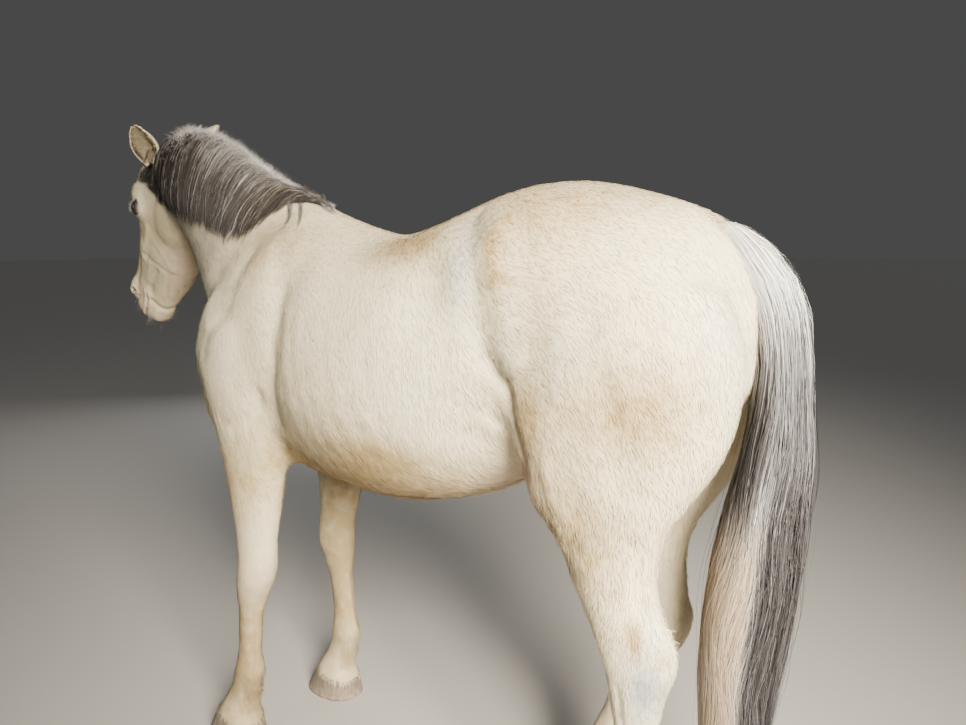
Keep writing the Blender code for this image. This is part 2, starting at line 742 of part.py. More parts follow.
SEEDS = {
    "head": (-0.08, -1.20, 1.35),
    "neck": (-0.01, -0.78, 1.40),
    "trunk": (0.0, 0.0, 1.05),
    "foreleg_left": (0.15, -0.51, 0.40),
    "foreleg_right": (-0.15, -0.50, 0.40),
    "hindleg_left": (0.15, 0.53, 0.45),
    "hindleg_right": (-0.13, 0.42, 0.45),
    "hoof_fore_left": (0.165, -0.60, 0.03),
    "hoof_fore_right": (-0.15, -0.56, 0.03),
    "hoof_hind_left": (0.15, 0.48, 0.03),
    "hoof_hind_right": (-0.12, 0.29, 0.03),
}


def part_flesh(body):
    """Splits the cut body into pieces and names each by the seed nearest its middle."""
    bpy.ops.object.select_all(action="DESELECT")
    body.select_set(True)
    bpy.context.view_layer.objects.active = body
    bpy.ops.mesh.separate(type="LOOSE")
    pieces = list(bpy.context.selected_objects)
    named = {}
    for piece in sorted(pieces, key=lambda p: -len(p.data.vertices)):
        flat = points_of(piece)
        middle = (flat.min(axis=0) + flat.max(axis=0)) / 2
        name = min(SEEDS, key=lambda key: np.linalg.norm(middle - SEEDS[key]))
        if name in named:
            bpy.data.objects.remove(piece, do_unlink=True)
            continue
        piece.name = piece.data.name = name
        named[name] = piece
    return named


def tidy_mesh(obj):
    """Merges doubled points and clears faces without area that a cut can leave."""
    shape = bmesh.new()
    shape.from_mesh(obj.data)
    bmesh.ops.remove_doubles(shape, verts=shape.verts, dist=0.00005)
    bmesh.ops.dissolve_degenerate(shape, edges=shape.edges, dist=0.00005)
    bmesh.ops.triangulate(shape, faces=shape.faces)
    bmesh.ops.recalc_face_normals(shape, faces=shape.faces)
    shape.to_mesh(obj.data)
    shape.free()


def paint(obj, made):
    obj.data.materials.clear()
    obj.data.materials.append(made)


def centre_all():
    """Moves everything so that the origin is the middle of the footprint, at floor level."""
    solids = [obj for obj in bpy.data.objects if obj.type == "MESH" and not obj.hide_render]
    every = np.concatenate([points_of(obj) for obj in solids])
    low, high = every.min(axis=0), every.max(axis=0)
    shift = np.array([(low[0] + high[0]) / 2, (low[1] + high[1]) / 2, low[2]])
    for obj in solids:
        put_points(obj, points_of(obj) - shift)
    return shift


def main():
    clear_scene()
    coat = material("coat", COAT_COLOUR, 0.8)
    body = flesh()
    thin_out(body, FLESH_TRIANGLES)
    left_eye, right_eye = eye("eye_left", 1), eye("eye_right", -1)
    sockets = [inflated(left_eye, "socket_left", SEAT), inflated(right_eye, "socket_right", SEAT)]
    floor = box("below_floor", (-0.6, -1.6, -0.3), (0.6, 1.2, 0.0))
    seat = inflated(body, "seat", SEAT)
    hair = [mane(body), forelock(), tail()]
    ears = [
        ear("ear_left", 1, (0.028, -0.018, 0.056), (-0.085, 0.030, 0.118), (0.60, 0.68, -0.35)),
        ear("ear_right", -1, (0.018, -0.018, 0.056), (-0.122, -0.025, 0.114), (-0.80, 0.45, -0.30)),
    ]
    for piece in [*hair, *ears]:
        subtract(piece, [inflated(seat, "seat_for_" + piece.name, 0.0)])
        largest_island(piece)
    subtract(hair[0], [inflated(one, "clear_" + one.name, CLEAR) for one in ears])
    largest_island(hair[0])
    subtract(hair[1], [inflated(one, "clear_" + one.name, CLEAR) for one in (*ears, hair[0])])
    largest_island(hair[1])
    bpy.data.objects.remove(seat, do_unlink=True)
    subtract(body, [floor, *sockets, *parting_plates()])
    pieces = part_flesh(body)
    for piece in [*pieces.values(), *hair, *ears]:
        tidy_mesh(piece)
    horn = material("horn", HOOF_COLOUR, 0.5)
    for name, piece in pieces.items():
        paint(piece, horn if name.startswith("hoof") else coat)
    for one in ears:
        paint(one, coat)
    paint(hair[0], material("mane_hair", MANE_COLOUR, 0.7))
    paint(hair[1], bpy.data.materials["mane_hair"])
    paint(hair[2], material("tail_hair", TAIL_COLOUR, 0.7))
    for one in (left_eye, right_eye):
        paint(one, bpy.data.materials.get("eye") or material("eye", EYE_COLOUR, 0.15))
    centre_all()


main()
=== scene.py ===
"""Dresses a stocky white-grey riding pony, life size.

One skin takes the place of every flesh solid and lies inside them by the coat's depth. Over it
go the short coat in flat tufts, the longer hair of fetlocks, elbows, chin and ears, and the
mane, forelock and tail in locks. Eyes and hoofs are pieces of their own. The animal faces -Y,
its left side is +X and the floor is at z = 0.
"""

import logging
import math
from collections.abc import Callable
from dataclasses import dataclass
from enum import Enum
from itertools import product
from typing import ClassVar

import bmesh
import bpy
import numpy as np
from mathutils import Matrix, Vector
from mathutils.bvhtree import BVHTree


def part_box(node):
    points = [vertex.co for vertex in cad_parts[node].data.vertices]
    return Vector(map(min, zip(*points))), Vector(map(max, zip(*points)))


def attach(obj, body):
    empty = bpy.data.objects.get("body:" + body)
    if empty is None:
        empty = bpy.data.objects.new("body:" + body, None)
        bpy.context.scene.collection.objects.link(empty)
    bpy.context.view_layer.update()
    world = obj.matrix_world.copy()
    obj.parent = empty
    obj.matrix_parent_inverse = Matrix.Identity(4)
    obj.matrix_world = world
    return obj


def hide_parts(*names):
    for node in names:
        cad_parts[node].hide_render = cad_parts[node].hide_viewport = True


Array = np.ndarray
Draw = np.random.Generator
Piece = bpy.types.Object
Socket = bpy.types.NodeSocket
Spot = tuple[float, float, float]
Colour = tuple[float, float, float, float]

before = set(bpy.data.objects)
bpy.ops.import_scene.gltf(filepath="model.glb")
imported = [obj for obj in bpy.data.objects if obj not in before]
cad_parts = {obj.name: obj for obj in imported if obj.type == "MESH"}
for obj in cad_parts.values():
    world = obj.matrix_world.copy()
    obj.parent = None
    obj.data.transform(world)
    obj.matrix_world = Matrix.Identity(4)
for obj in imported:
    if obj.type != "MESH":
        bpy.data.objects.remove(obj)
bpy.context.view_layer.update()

LOG = logging.getLogger("pony")
SEED = 20
MOST_TRIANGLES = 190_000
BAKE_MAP = "OFBake"
BAKE_PATCH = 0.003
HOOF_TOP = 0.0705
HOOF_SLOPE = 0.26
FLESH = ("head", "neck", "trunk", "foreleg_left", "foreleg_right", "hindleg_left", "hindleg_right")
HOOFS = ("hoof_fore_left", "hoof_fore_right", "hoof_hind_left", "hoof_hind_right")


class Side(Enum):
    """The animal's own left and right."""

    LEFT = 1
    RIGHT = -1

    @property
    def word(self) -> str:
        """The side's name as the nodes spell it."""
        return self.name.lower()


# ---- mesh tools ----


def select_only(obj: Piece) -> None:
    """Leaves one object selected and active."""
    bpy.ops.object.select_all(action="DESELECT")
    obj.select_set(True)
    bpy.context.view_layer.objects.active = obj


def apply_modifiers(obj: Piece) -> None:
    """Applies every modifier of the object, in order."""
    select_only(obj)
    for modifier in list(obj.modifiers):
        bpy.ops.object.modifier_apply(modifier=modifier.name)


def remesh(obj: Piece, voxel: float) -> None:
    """Fuses all that the object holds into one closed surface."""
    modifier = obj.modifiers.new("fuse", "REMESH")
    modifier.mode = "VOXEL"
    modifier.voxel_size = voxel
    apply_modifiers(obj)


def read(items: object, key: str, width: int, kind: type = np.float32) -> Array:
    """One value of every item of a mesh, as an (n, width) array."""
    flat = np.empty(len(items) * width, kind)
    items.foreach_get(key, flat)
    return flat.reshape(-1, width)


def points_of(obj: Piece) -> Array:
    """The object's vertices as an (n, 3) array."""
    return read(obj.data.vertices, "co", 3).astype(float)


def normals_of(obj: Piece) -> Array:
    """The object's vertex normals as an (n, 3) array."""
    return read(obj.data.vertex_normals, "vector", 3).astype(float)


def put_points(obj: Piece, points: Array) -> None:
    """Moves the object's vertices to these places."""
    obj.data.vertices.foreach_set("co", points.astype(np.float32).ravel())
    obj.data.update()


def unit(vectors: Array) -> Array:
    """The vectors at length 1."""
    return vectors / np.maximum(np.linalg.norm(vectors, axis=-1, keepdims=True), 1e-9)


def laid(vectors: Array, normals: Array) -> Array:
    """The part of the vectors that lies along a surface."""
    return vectors - normals * (vectors * normals).sum(axis=1, keepdims=True)


def fold(points: Array, on_head: bool) -> Array:
    """Points with the right side laid over the left."""
    axis = 2 if on_head else 0
    made = points.copy()
    made[:, axis] = np.abs(made[:, axis])
    return made


def read_off(table: tuple, at: Array) -> list[Array]:
    """A table's further columns at values of its first one."""
    first, *others = np.array(sorted(table)).T
    return [np.interp(at, first, other) for other in others]


def ease(low: float, high: float, values: Array) -> Array:
    """A smooth step from 0 at low to 1 at high."""
    t = np.clip((np.asarray(values, float) - low) / (high - low), 0, 1)
    return t * t * (3 - 2 * t)


def link(name: str, data: bpy.types.ID) -> Piece:
    """A new object in the scene with this data."""
    made = bpy.data.objects.new(name, data)
    bpy.context.scene.collection.objects.link(made)
    return made


def shade_smooth(mesh: bpy.types.Mesh) -> None:
    """Shades every face smoothly."""
    mesh.polygons.foreach_set("use_smooth", np.ones(len(mesh.polygons), bool))


def add_mesh(name: str, points: Array, faces: Array) -> Piece:
    """A smooth-shaded mesh object.

    Args:
        name: The piece's name.
        points: Its vertices, (n, 3).
        faces: Vertex numbers, (m, 3) or (m, 4).

    Returns:
        The object, in the scene.
    """
    mesh = bpy.data.meshes.new(name)
    faces = np.ascontiguousarray(faces, np.int32)
    mesh.vertices.add(len(points))
    mesh.vertices.foreach_set("co", np.asarray(points, np.float32).ravel())
    mesh.loops.add(faces.size)
    mesh.loops.foreach_set("vertex_index", faces.ravel())
    mesh.polygons.add(len(faces))
    mesh.polygons.foreach_set("loop_start", np.arange(0, faces.size, faces.shape[1], dtype=np.int32))
    shade_smooth(mesh)
    mesh.update(calc_edges=True)
    return link(name, mesh)


def put_attribute(obj: Piece, name: str, values: Array) -> None:
    """Stores a value for each vertex, one number or four."""
    kind, key = ("FLOAT", "value") if values.ndim == 1 else ("FLOAT_COLOR", "color")
    layer = obj.data.attributes.new(name, kind, "POINT")
    layer.data.foreach_set(key, values.astype(np.float32).ravel())


def soften(obj: Piece, wanted: Array, share: float) -> None:
    """Turns the shading normals towards wanted ones, so that thin hairs shade as one coat."""
    mixed = unit(normals_of(obj) * (1 - share) + wanted * share)
    shade_smooth(obj.data)
    obj.data.normals_split_custom_set_from_vertices(mixed.tolist())


def copy_of(name: str) -> Piece:
    """A merged copy of a CAD node, to build on."""
    made = link(name + "_copy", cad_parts[name].data.copy())
    shape = bmesh.new()
    shape.from_mesh(made.data)
    bmesh.ops.remove_doubles(shape, verts=shape.verts, dist=1e-5)
    bmesh.ops.recalc_face_normals(shape, faces=shape.faces)
    shape.to_mesh(made.data)
    shape.free()
    made.data.materials.clear()
    return made


def join(objects: list[Piece], name: str) -> Piece:
    """Joins the objects into the first one."""
    select_only(objects[0])
    for obj in objects[1:]:
        obj.select_set(True)
    bpy.ops.object.join()
    objects[0].name = objects[0].data.name = name
    return objects[0]


def relax(obj: Piece, rounds: int, share: Array) -> None:
    """Smooths a surface without shrinking it.

    Args:
        obj: A mesh object.
        rounds: How many times to smooth it.
        share: Each vertex's part of the full move, from 0 to 1.
    """
    points = points_of(obj)
    a, b = read(obj.data.edges, "vertices", 2, np.int32).T
    count = len(points)
    degree = np.maximum(np.bincount(a, minlength=count) + np.bincount(b, minlength=count), 1)
    for turn in range(2 * rounds):
        total = np.empty_like(points)
        for axis in range(3):
            total[:, axis] = np.bincount(a, points[b, axis], count)
            total[:, axis] += np.bincount(b, points[a, axis], count)
        step = 0.55 if turn % 2 == 0 else -0.5
        points += (total / degree[:, None] - points) * (share * step)[:, None]
    put_points(obj, points)


def loft(name: str, rings: list[list[Vector]]) -> Piece:
    """A closed mesh through rings of points, with a fan over each end."""
    shape = bmesh.new()
    rows = [[shape.verts.new(point) for point in ring] for ring in rings]
    for low, high in zip(rows, rows[1:]):
        for k in range(len(low)):
            j = (k + 1) % len(low)
            shape.faces.new((low[k], low[j], high[j], high[k]))
    for ring in (rows[0], rows[-1]):
        tip = shape.verts.new(sum((v.co for v in ring), Vector()) / len(ring))
        for k in range(len(ring)):
            shape.faces.new((ring[k], ring[(k + 1) % len(ring)], tip))
    bmesh.ops.recalc_face_normals(shape, faces=shape.faces)
    mesh = bpy.data.meshes.new(name)
    shape.to_mesh(mesh)
    shape.free()
    return link(name, mesh)


def middle_of(node: str) -> Vector:
    """The middle of a CAD node's box."""
    low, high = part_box(node)
    return (Vector(low) + Vector(high)) / 2


def finish_piece(
    obj: Piece, material: bpy.types.Material, replaced: tuple[str, ...] = ()
) -> None:
    """Dresses a piece, rides it on the body and hides the CAD nodes it stands for."""
    obj.data.materials.clear()
    obj.data.materials.append(material)
    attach(obj, "root")
    if replaced:
        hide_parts(*replaced)
    LOG.info("%s: %d faces", obj.name, len(obj.data.polygons))


def dress_all(
    pieces: list[Piece], material: bpy.types.Material, replaced: tuple[str, ...] = ()
) -> None:
    """Finishes several pieces alike."""
    for piece in pieces:
        finish_piece(piece, material, replaced)


# ---- finishes ----


class Graph:
    """Adds nodes to a tree and links them in short calls."""

    def __init__(self, tree: bpy.types.NodeTree) -> None:
        """Keeps the tree."""
        self.tree = tree

    def node(self, kind: str, **settings: object) -> bpy.types.Node:
        """A new node with its settings made."""
        made = self.tree.nodes.new(kind)
        for name, value in settings.items():
            setattr(made, name, value)
        return made

    def feed(self, socket: Socket, value: object) -> None:
        """Links an output to a socket, or sets a plain value on it."""
        if isinstance(value, Socket):
            self.tree.links.new(value, socket)
        else:
            socket.default_value = value

    def attribute(self, name: str) -> bpy.types.Node:
        """A vertex attribute."""
        return self.node("ShaderNodeAttribute", attribute_name=name)

    def place(self, scale: Spot = (1, 1, 1)) -> Socket:
        """Object coordinates, stretched by scale."""
        made = self.node("ShaderNodeMapping")
        self.feed(made.inputs["Vector"], self.node("ShaderNodeTexCoord").outputs["Object"])
        made.inputs["Scale"].default_value = scale
        return made.outputs["Vector"]

    def noise(self, vector: object, scale: float, detail: float = 3.0) -> Socket:
        """Noise between 0 and 1."""
        made = self.node("ShaderNodeTexNoise")
        self.feed(made.inputs["Vector"], vector)
        made.inputs["Scale"].default_value = scale
        made.inputs["Detail"].default_value = detail
        return made.outputs["Fac"]

    def maths(self, kind: str, first: object, second: object = 0.0) -> Socket:
        """One sum."""
        made = self.node("ShaderNodeMath", operation=kind)
        self.feed(made.inputs[0], first)
        self.feed(made.inputs[1], second)
        return made.outputs["Value"]

    def span(self, value: object, low: float, high: float, start: float, end: float) -> Socket:
        """A value from low..high to start..end, held at both ends."""
        made = self.node("ShaderNodeMapRange", clamp=True)
        for socket, given in zip(made.inputs, (value, low, high, start, end)):
            self.feed(socket, given)
        return made.outputs["Result"]

    def mix(self, share: object, first: object, second: object, kind: str = "MIX") -> Socket:
        """Two colours mixed."""
        made = self.node("ShaderNodeMix", data_type="RGBA", blend_type=kind, clamp_factor=True)
        self.feed(made.inputs["Factor"], share)
        self.feed(made.inputs[6], first)
        self.feed(made.inputs[7], second)
        return made.outputs[2]

    def shade(self, colour: object, share: object) -> Socket:
        """A colour made lighter or darker by a number."""
        made = self.node("ShaderNodeVectorMath", operation="SCALE")
        self.feed(made.inputs[0], colour)
        self.feed(made.inputs["Scale"], share)
        return made.outputs["Vector"]

    def bump(self, height: object, distance: float, strength: float = 1.0) -> Socket:
        """A bumped normal."""
        made = self.node("ShaderNodeBump")
        self.feed(made.inputs["Height"], height)
        made.inputs["Distance"].default_value = distance
        made.inputs["Strength"].default_value = strength
        return made.outputs["Normal"]


def group_of(name: str, inputs: dict[str, str], build: Callable[[Graph, dict], object]) -> bpy.types.NodeTree:
    """A node group that puts out a colour, built the first time it is asked for.

    Args:
        name: The group's name.
        inputs: Socket names and types.
        build: Makes the nodes from the graph and the input sockets, and returns the colour.

    Returns:
        The group.
    """
    if name in bpy.data.node_groups:
        return bpy.data.node_groups[name]
    tree = bpy.data.node_groups.new(name, "ShaderNodeTree")
    for socket, kind in inputs.items():
        tree.interface.new_socket(socket, in_out="INPUT", socket_type=kind)
    tree.interface.new_socket("Colour", in_out="OUTPUT", socket_type="NodeSocketColor")
    graph = Graph(tree)
    colour = build(graph, graph.node("NodeGroupInput").outputs)
    graph.feed(graph.node("NodeGroupOutput").inputs["Colour"], colour)
    return tree


def coat_colours(graph: Graph, given: dict) -> Socket:
    """White hair with a cream breakup, made warm, cool, pink and dark by its marks: stains, grey hair and
    dark skin, and painted shade where the coat lies in shade.
    """
    place = given["Place"]
    marks = graph.node("ShaderNodeSeparateColor")
    graph.feed(marks.inputs["Color"], given["Marks"])
    blotch = graph.span(graph.noise(place, 38, 5), 0.32, 0.68, 0.74, 1.24)
    wide = graph.noise(place, 7, 4)
    colour = graph.mix(graph.span(wide, 0.4, 0.75, 0.0, 0.4), WhiteCoat.white, WhiteCoat.cream)
    # Each mark mixes in its colour; on the neck, shoulder, croup top, belly, legs and flank hollows the marks
    # are painted shade.
    for output, stain, share in (
        ("Green", WhiteCoat.cool, 0.85),
        ("Red", WhiteCoat.warm, 1.0),
        ("Blue", WhiteCoat.pink, 0.85),
    ):
        amount = graph.maths("MULTIPLY", graph.maths("MULTIPLY", marks.outputs[output], blotch), share)
        colour = graph.mix(amount, colour, stain)
    # The dark mark: dark skin round eyes, nostrils and lips, and painted shade in creases and on the shaded
    # legs and neck.
    colour = graph.mix(given["Dark"], colour, WhiteCoat.dark)
    return graph.shade(colour, graph.span(given["Tone"], 0, 1, 0.86, 1.06))


def hair_colours(graph: Graph, given: dict) -> Socket:
    """Silver to charcoal by the first value, stained by the second, shaded by the third."""
    strand = graph.node("ShaderNodeSeparateColor")
    graph.feed(strand.inputs["Color"], given["Strand"])
    ramp = graph.node("ShaderNodeValToRGB")
    stops = ramp.color_ramp.elements
    for number, (place, colour) in enumerate(LongHair.scale):
        stop = stops[number] if number < len(stops) else stops.new(place)
        stop.position = place
        stop.color = colour
    graph.feed(ramp.inputs["Fac"], strand.outputs["Red"])
    light = graph.span(strand.outputs["Red"], 0.0, 0.75, 1.0, 0.12)
    stain = graph.maths("MULTIPLY", strand.outputs["Green"], light)
    colour = graph.mix(stain, ramp.outputs["Color"], LongHair.stain)
    return graph.shade(colour, graph.span(strand.outputs["Blue"], 0, 1, 0.7, 1.18))


def new_material(name: str, roughness: float) -> tuple[bpy.types.Material, Graph, bpy.types.Node]:
    """A material, its graph and its shader."""
    made = bpy.data.materials.new(name)
    made.use_nodes = True
    shader = made.node_tree.nodes["Principled BSDF"]
    shader.inputs["Roughness"].default_value = roughness
    return made, Graph(made.node_tree), shader


@dataclass(frozen=True)
class WhiteCoat:
    """The coat and the skin under it, with the same markings and painted shade."""

    name: str
    roughness: float
    bare: bool
    white: ClassVar[Colour] = (0.84, 0.765, 0.545, 1.0)
    cream: ClassVar[Colour] = (0.74, 0.6, 0.39, 1.0)
    warm: ClassVar[Colour] = (0.46, 0.34, 0.165, 1.0)
    cool: ClassVar[Colour] = (0.44, 0.45, 0.45, 1.0)
    pink: ClassVar[Colour] = (0.58, 0.4, 0.34, 1.0)
    dark: ClassVar[Colour] = (0.03, 0.026, 0.026, 1.0)

    def material(self) -> bpy.types.Material:
        """Marks and tone from the piece; where it is bare skin, darkened in fine streaks as painted shade
        between the hairs, and bumped.
        """
        made, graph, shader = new_material(self.name, self.roughness)
        inputs = {
            "Marks": "NodeSocketColor",
            "Dark": "NodeSocketFloat",
            "Tone": "NodeSocketFloat",
            "Place": "NodeSocketVector",
        }
        colours = graph.node("ShaderNodeGroup", node_tree=group_of("coat colours", inputs, coat_colours))
        marks = graph.attribute("marks")
        place = graph.place()
        graph.feed(colours.inputs["Marks"], marks.outputs["Color"])
        graph.feed(colours.inputs["Dark"], marks.outputs["Alpha"])
        graph.feed(colours.inputs["Tone"], graph.attribute("tone").outputs["Fac"])
        graph.feed(colours.inputs["Place"], place)
        colour = colours.outputs["Colour"]
        if self.bare:
            fur = graph.noise(graph.place((1, 1, 0.35)), 900, 2)
            pores = graph.noise(place, 260, 4)
            # Painted shade between the hairs: the skin darker in fine streaks along the fur.
            colour = graph.mix(graph.span(fur, 0.35, 0.65, 0.35, 0.0), colour, graph.shade(colour, 0.62))
            height = graph.maths("ADD", fur, pores)
            graph.feed(shader.inputs["Normal"], graph.bump(height, 0.0007, 0.7))
        graph.feed(shader.inputs["Base Color"], colour)
        return made


@dataclass(frozen=True)
class LongHair:
    """Mane, forelock and tail hair, and the lashes and whiskers."""

    name: str
    roughness: float = 0.46
    scale: ClassVar[tuple] = (
        (0.0, (0.77, 0.79, 0.8, 1.0)),
        (1.0, (0.013, 0.012, 0.012, 1.0)),
        (0.3, (0.245, 0.247, 0.262, 1.0)),
        (0.62, (0.07, 0.067, 0.072, 1.0)),
    )
    stain: ClassVar[Colour] = (0.48, 0.35, 0.21, 1.0)

    def material(self) -> bpy.types.Material:
        """Each strand's own colour, along its length."""
        made, graph, shader = new_material(self.name, self.roughness)
        tree = group_of("hair colours", {"Strand": "NodeSocketColor"}, hair_colours)
        colours = graph.node("ShaderNodeGroup", node_tree=tree)
        graph.feed(colours.inputs["Strand"], graph.attribute("strand").outputs["Color"])
        graph.feed(shader.inputs["Base Color"], colours.outputs["Colour"])
        shader.inputs["Specular IOR Level"].default_value = 0.3
        return made


@dataclass(frozen=True)
class Horn:
    """Hoof horn: dark, with upright streaks, rings of growth and dust near the ground."""

    name: str
    roughness: float = 0.55
    deep: Colour = (0.085, 0.07, 0.058, 1.0)
    pale: Colour = (0.21, 0.165, 0.12, 1.0)
    dust: Colour = (0.34, 0.27, 0.19, 1.0)

    def material(self) -> bpy.types.Material:
        """Streaks and rings from the place on the hoof."""
        made, graph, shader = new_material(self.name, self.roughness)
        streak = graph.noise(graph.place((1, 1, 0.06)), 260, 4)
        rings = graph.noise(graph.place((0.12, 0.12, 1)), 240, 3)
        colour = graph.mix(graph.span(streak, 0.36, 0.66, 0.0, 0.8), self.deep, self.pale)
        colour = graph.mix(graph.span(rings, 0.45, 0.7, 0.0, 0.45), colour, self.pale)
        split = graph.node("ShaderNodeSeparateXYZ")
        graph.feed(split.inputs["Vector"], graph.place())
        low = graph.span(split.outputs["Z"], 0.0, 0.045, 0.75, 0.1)
        patchy = graph.span(graph.noise(graph.place(), 70, 5), 0.3, 0.7, 0.2, 1.0)
        dusty = graph.maths("MULTIPLY", low, patchy)
        graph.feed(shader.inputs["Base Color"], graph.mix(dusty, colour, self.dust))
        height = graph.maths("ADD", streak, rings)
        graph.feed(shader.inputs["Normal"], graph.bump(height, 0.0005, 0.6))
        return made


@dataclass(frozen=True)
class DarkEye:
    """A wet, near-black eye: dark brown iris, a lying pupil and a dark rim."""

    name: str
    roughness: float = 0.06
    iris: Colour = (0.016, 0.0075, 0.0045, 1.0)
    bright: Colour = (0.036, 0.018, 0.01, 1.0)
    pupil: Colour = (0.003, 0.003, 0.004, 1.0)
    white: Colour = (0.03, 0.02, 0.017, 1.0)
    iris_half: float = 0.0136
    pupil_half: tuple[float, float] = (0.0058, 0.0027)

    def material(self) -> bpy.types.Material:
        """Rings about the gaze, from the eye's own axes."""
        made, graph, shader = new_material(self.name, self.roughness)
        split = graph.node("ShaderNodeSeparateXYZ")
        graph.feed(split.inputs["Vector"], graph.attribute("gaze").outputs["Vector"])
        across, upward = split.outputs["X"], split.outputs["Y"]
        reach = self._reach(graph, across, upward, (self.iris_half, self.iris_half))
        inner = self._reach(graph, across, upward, self.pupil_half)
        grain = graph.noise(graph.attribute("gaze").outputs["Vector"], 900, 4)
        iris = graph.mix(graph.span(grain, 0.4, 0.7, 0.0, 0.8), self.iris, self.bright)
        colour = graph.mix(graph.span(reach, 0.8, 1.0, 0.0, 1.0), iris, self.pupil)
        colour = graph.mix(graph.span(reach, 1.02, 1.14, 0.0, 1.0), colour, self.white)
        colour = graph.mix(graph.span(inner, 0.9, 1.1, 1.0, 0.0), colour, self.pupil)
        graph.feed(shader.inputs["Base Color"], colour)
        shader.inputs["Coat Weight"].default_value = 1.0
        shader.inputs["Coat Roughness"].default_value = 0.02
        return made

    @staticmethod
    def _reach(graph: Graph, across: object, upward: object, half: tuple[float, float]) -> Socket:
        """1 on the ellipse with these half-axes."""
        squares = [
            graph.maths("POWER", graph.maths("ABSOLUTE", graph.maths("DIVIDE", value, size)), 2.0)
            for value, size in zip((across, upward), half)
        ]
        return graph.maths("SQRT", graph.maths("ADD", *squares))


@dataclass(frozen=True)
class DockSkin:
    """The bare core of the tail, seen between its hairs."""

    name: str
    roughness: float = 0.7
    pale: Colour = (0.5, 0.44, 0.39, 1.0)
    grey: Colour = (0.22, 0.2, 0.19, 1.0)

    def material(self) -> bpy.types.Material:
        """Mottled skin with fine upright grain."""
        made, graph, shader = new_material(self.name, self.roughness)
        grain = graph.noise(graph.place((1, 1, 0.1)), 500, 3)
        blotch = graph.noise(graph.place(), 40, 4)
        share = graph.span(graph.maths("ADD", grain, blotch), 0.7, 1.3, 0.0, 1.0)
        graph.feed(shader.inputs["Base Color"], graph.mix(share, self.pale, self.grey))
        graph.feed(shader.inputs["Normal"], graph.bump(grain, 0.0008, 0.7))
        return made


# ---- the head's own axes ----


class Head:
    """The head's axes: down the face, out of the forehead and to the animal's left."""

    nod: float = math.radians(-38.5)
    tilt: float = math.radians(7.7)
    scale: float = 0.99
    eye_place: tuple[float, float] = (0.17, -0.038)

    def __init__(self) -> None:
        """Places the axes by the eyes."""
        base = Matrix(((0, 0, 1), (0, -1, 0), (-1, 0, 0)))
        self.axes = Matrix.Rotation(self.nod, 3, "X") @ Matrix.Rotation(self.tilt, 3, "Y") @ base
        between = (middle_of("eye_left") + middle_of("eye_right")) / 2
        self.poll = between - self.axes @ (Vector((*self.eye_place, 0)) * self.scale)
        self.matrix = np.array(self.axes)

    def place(self, along: float, out: float, left: float = 0.0) -> Vector:
        """The point at these distances from the poll."""
        return self.poll + self.axes @ (Vector((along, out, left)) * self.scale)

    def local(self, points: Array) -> Array:
        """Points as distances along, out and left."""
        return (points - np.array(self.poll)) @ self.matrix / self.scale

    def turned(self, direction: Spot) -> Array:
        """A direction in the head's axes, in the frame's."""
        return self.matrix @ np.array(direction, float)


HEAD = Head()


# ---- sculpting ----


class Clay:
    """A surface that is pressed and raised in soft strokes, then put back in its object."""

    slack = 0.012
    cuts = 6

    def __init__(self, obj: Piece) -> None:
        """Takes the object's surface."""
        self.obj = obj
        self.refresh()

    def refresh(self) -> None:
        """Reads points and normals again."""
        self.points = points_of(self.obj)
        self.normals = normals_of(self.obj)
        self.head = HEAD.local(self.points)

    def commit(self) -> None:
        """Puts the strokes in the object."""
        put_points(self.obj, self.points)
        self.refresh()

    def lift(self, amount: Array, where: Array) -> None:
        """Moves chosen vertices along their normals."""
        self.points[where] += self.normals[where] * amount[:, None]

    def bump(self, centre: tuple, radii: tuple, height: float, on_head: bool = False) -> None:
        """Raises a soft bump, or sinks a hollow if height is below 0, on both sides."""
        place = fold(self.head if on_head else self.points, on_head)
        away = (((place - centre) / radii) ** 2).sum(axis=1)
        where = np.nonzero(away < 7)[0]
        self.lift(height * np.exp(-away[where]), where)

    def stroke(
        self, path: tuple, width: float, height: float, on_head: bool = False, side: Side | None = None
    ) -> None:
        """Raises a soft ridge along a path, or presses a groove if height is below 0.

        Args:
            path: Points near the left side's surface, in the head's axes or the frame's.
            width: The distance at which a third of the height is left.
            height: The height in metres.
            on_head: True if the path is in the head's axes.
            side: One side alone, or None for both.
        """
        place = fold(self.head if on_head else self.points, on_head)
        where = self.points[:, 0] * side.value > 0 if side else np.ones(len(place), bool)
        path = np.array(path, float)
        reach = 3 * width + self.slack
        low, high = path.min(axis=0) - reach, path.max(axis=0) + reach
        where = np.nonzero(where & (place > low).all(axis=1) & (place < high).all(axis=1))[0]
        place = place[where]
        fine = [np.linspace(a, b, self.cuts, endpoint=False) for a, b in zip(path, path[1:])]
        fine = np.concatenate([*fine, path[-1:]])
        path = np.array([place[((place - spot) ** 2).sum(axis=1).argmin()] for spot in fine])
        nearest = np.full(len(place), np.inf)
        for start, end in zip(path, path[1:]):
            run = end - start
            share = np.clip(((place - start) @ run) / max(run @ run, 1e-12), 0, 1)
            foot = start + share[:, None] * run
            nearest = np.minimum(nearest, np.linalg.norm(place - foot, axis=1))
        self.lift(height * np.exp(-((nearest / width) ** 2)), where)


# ---- places on the head that skin and pieces share ----


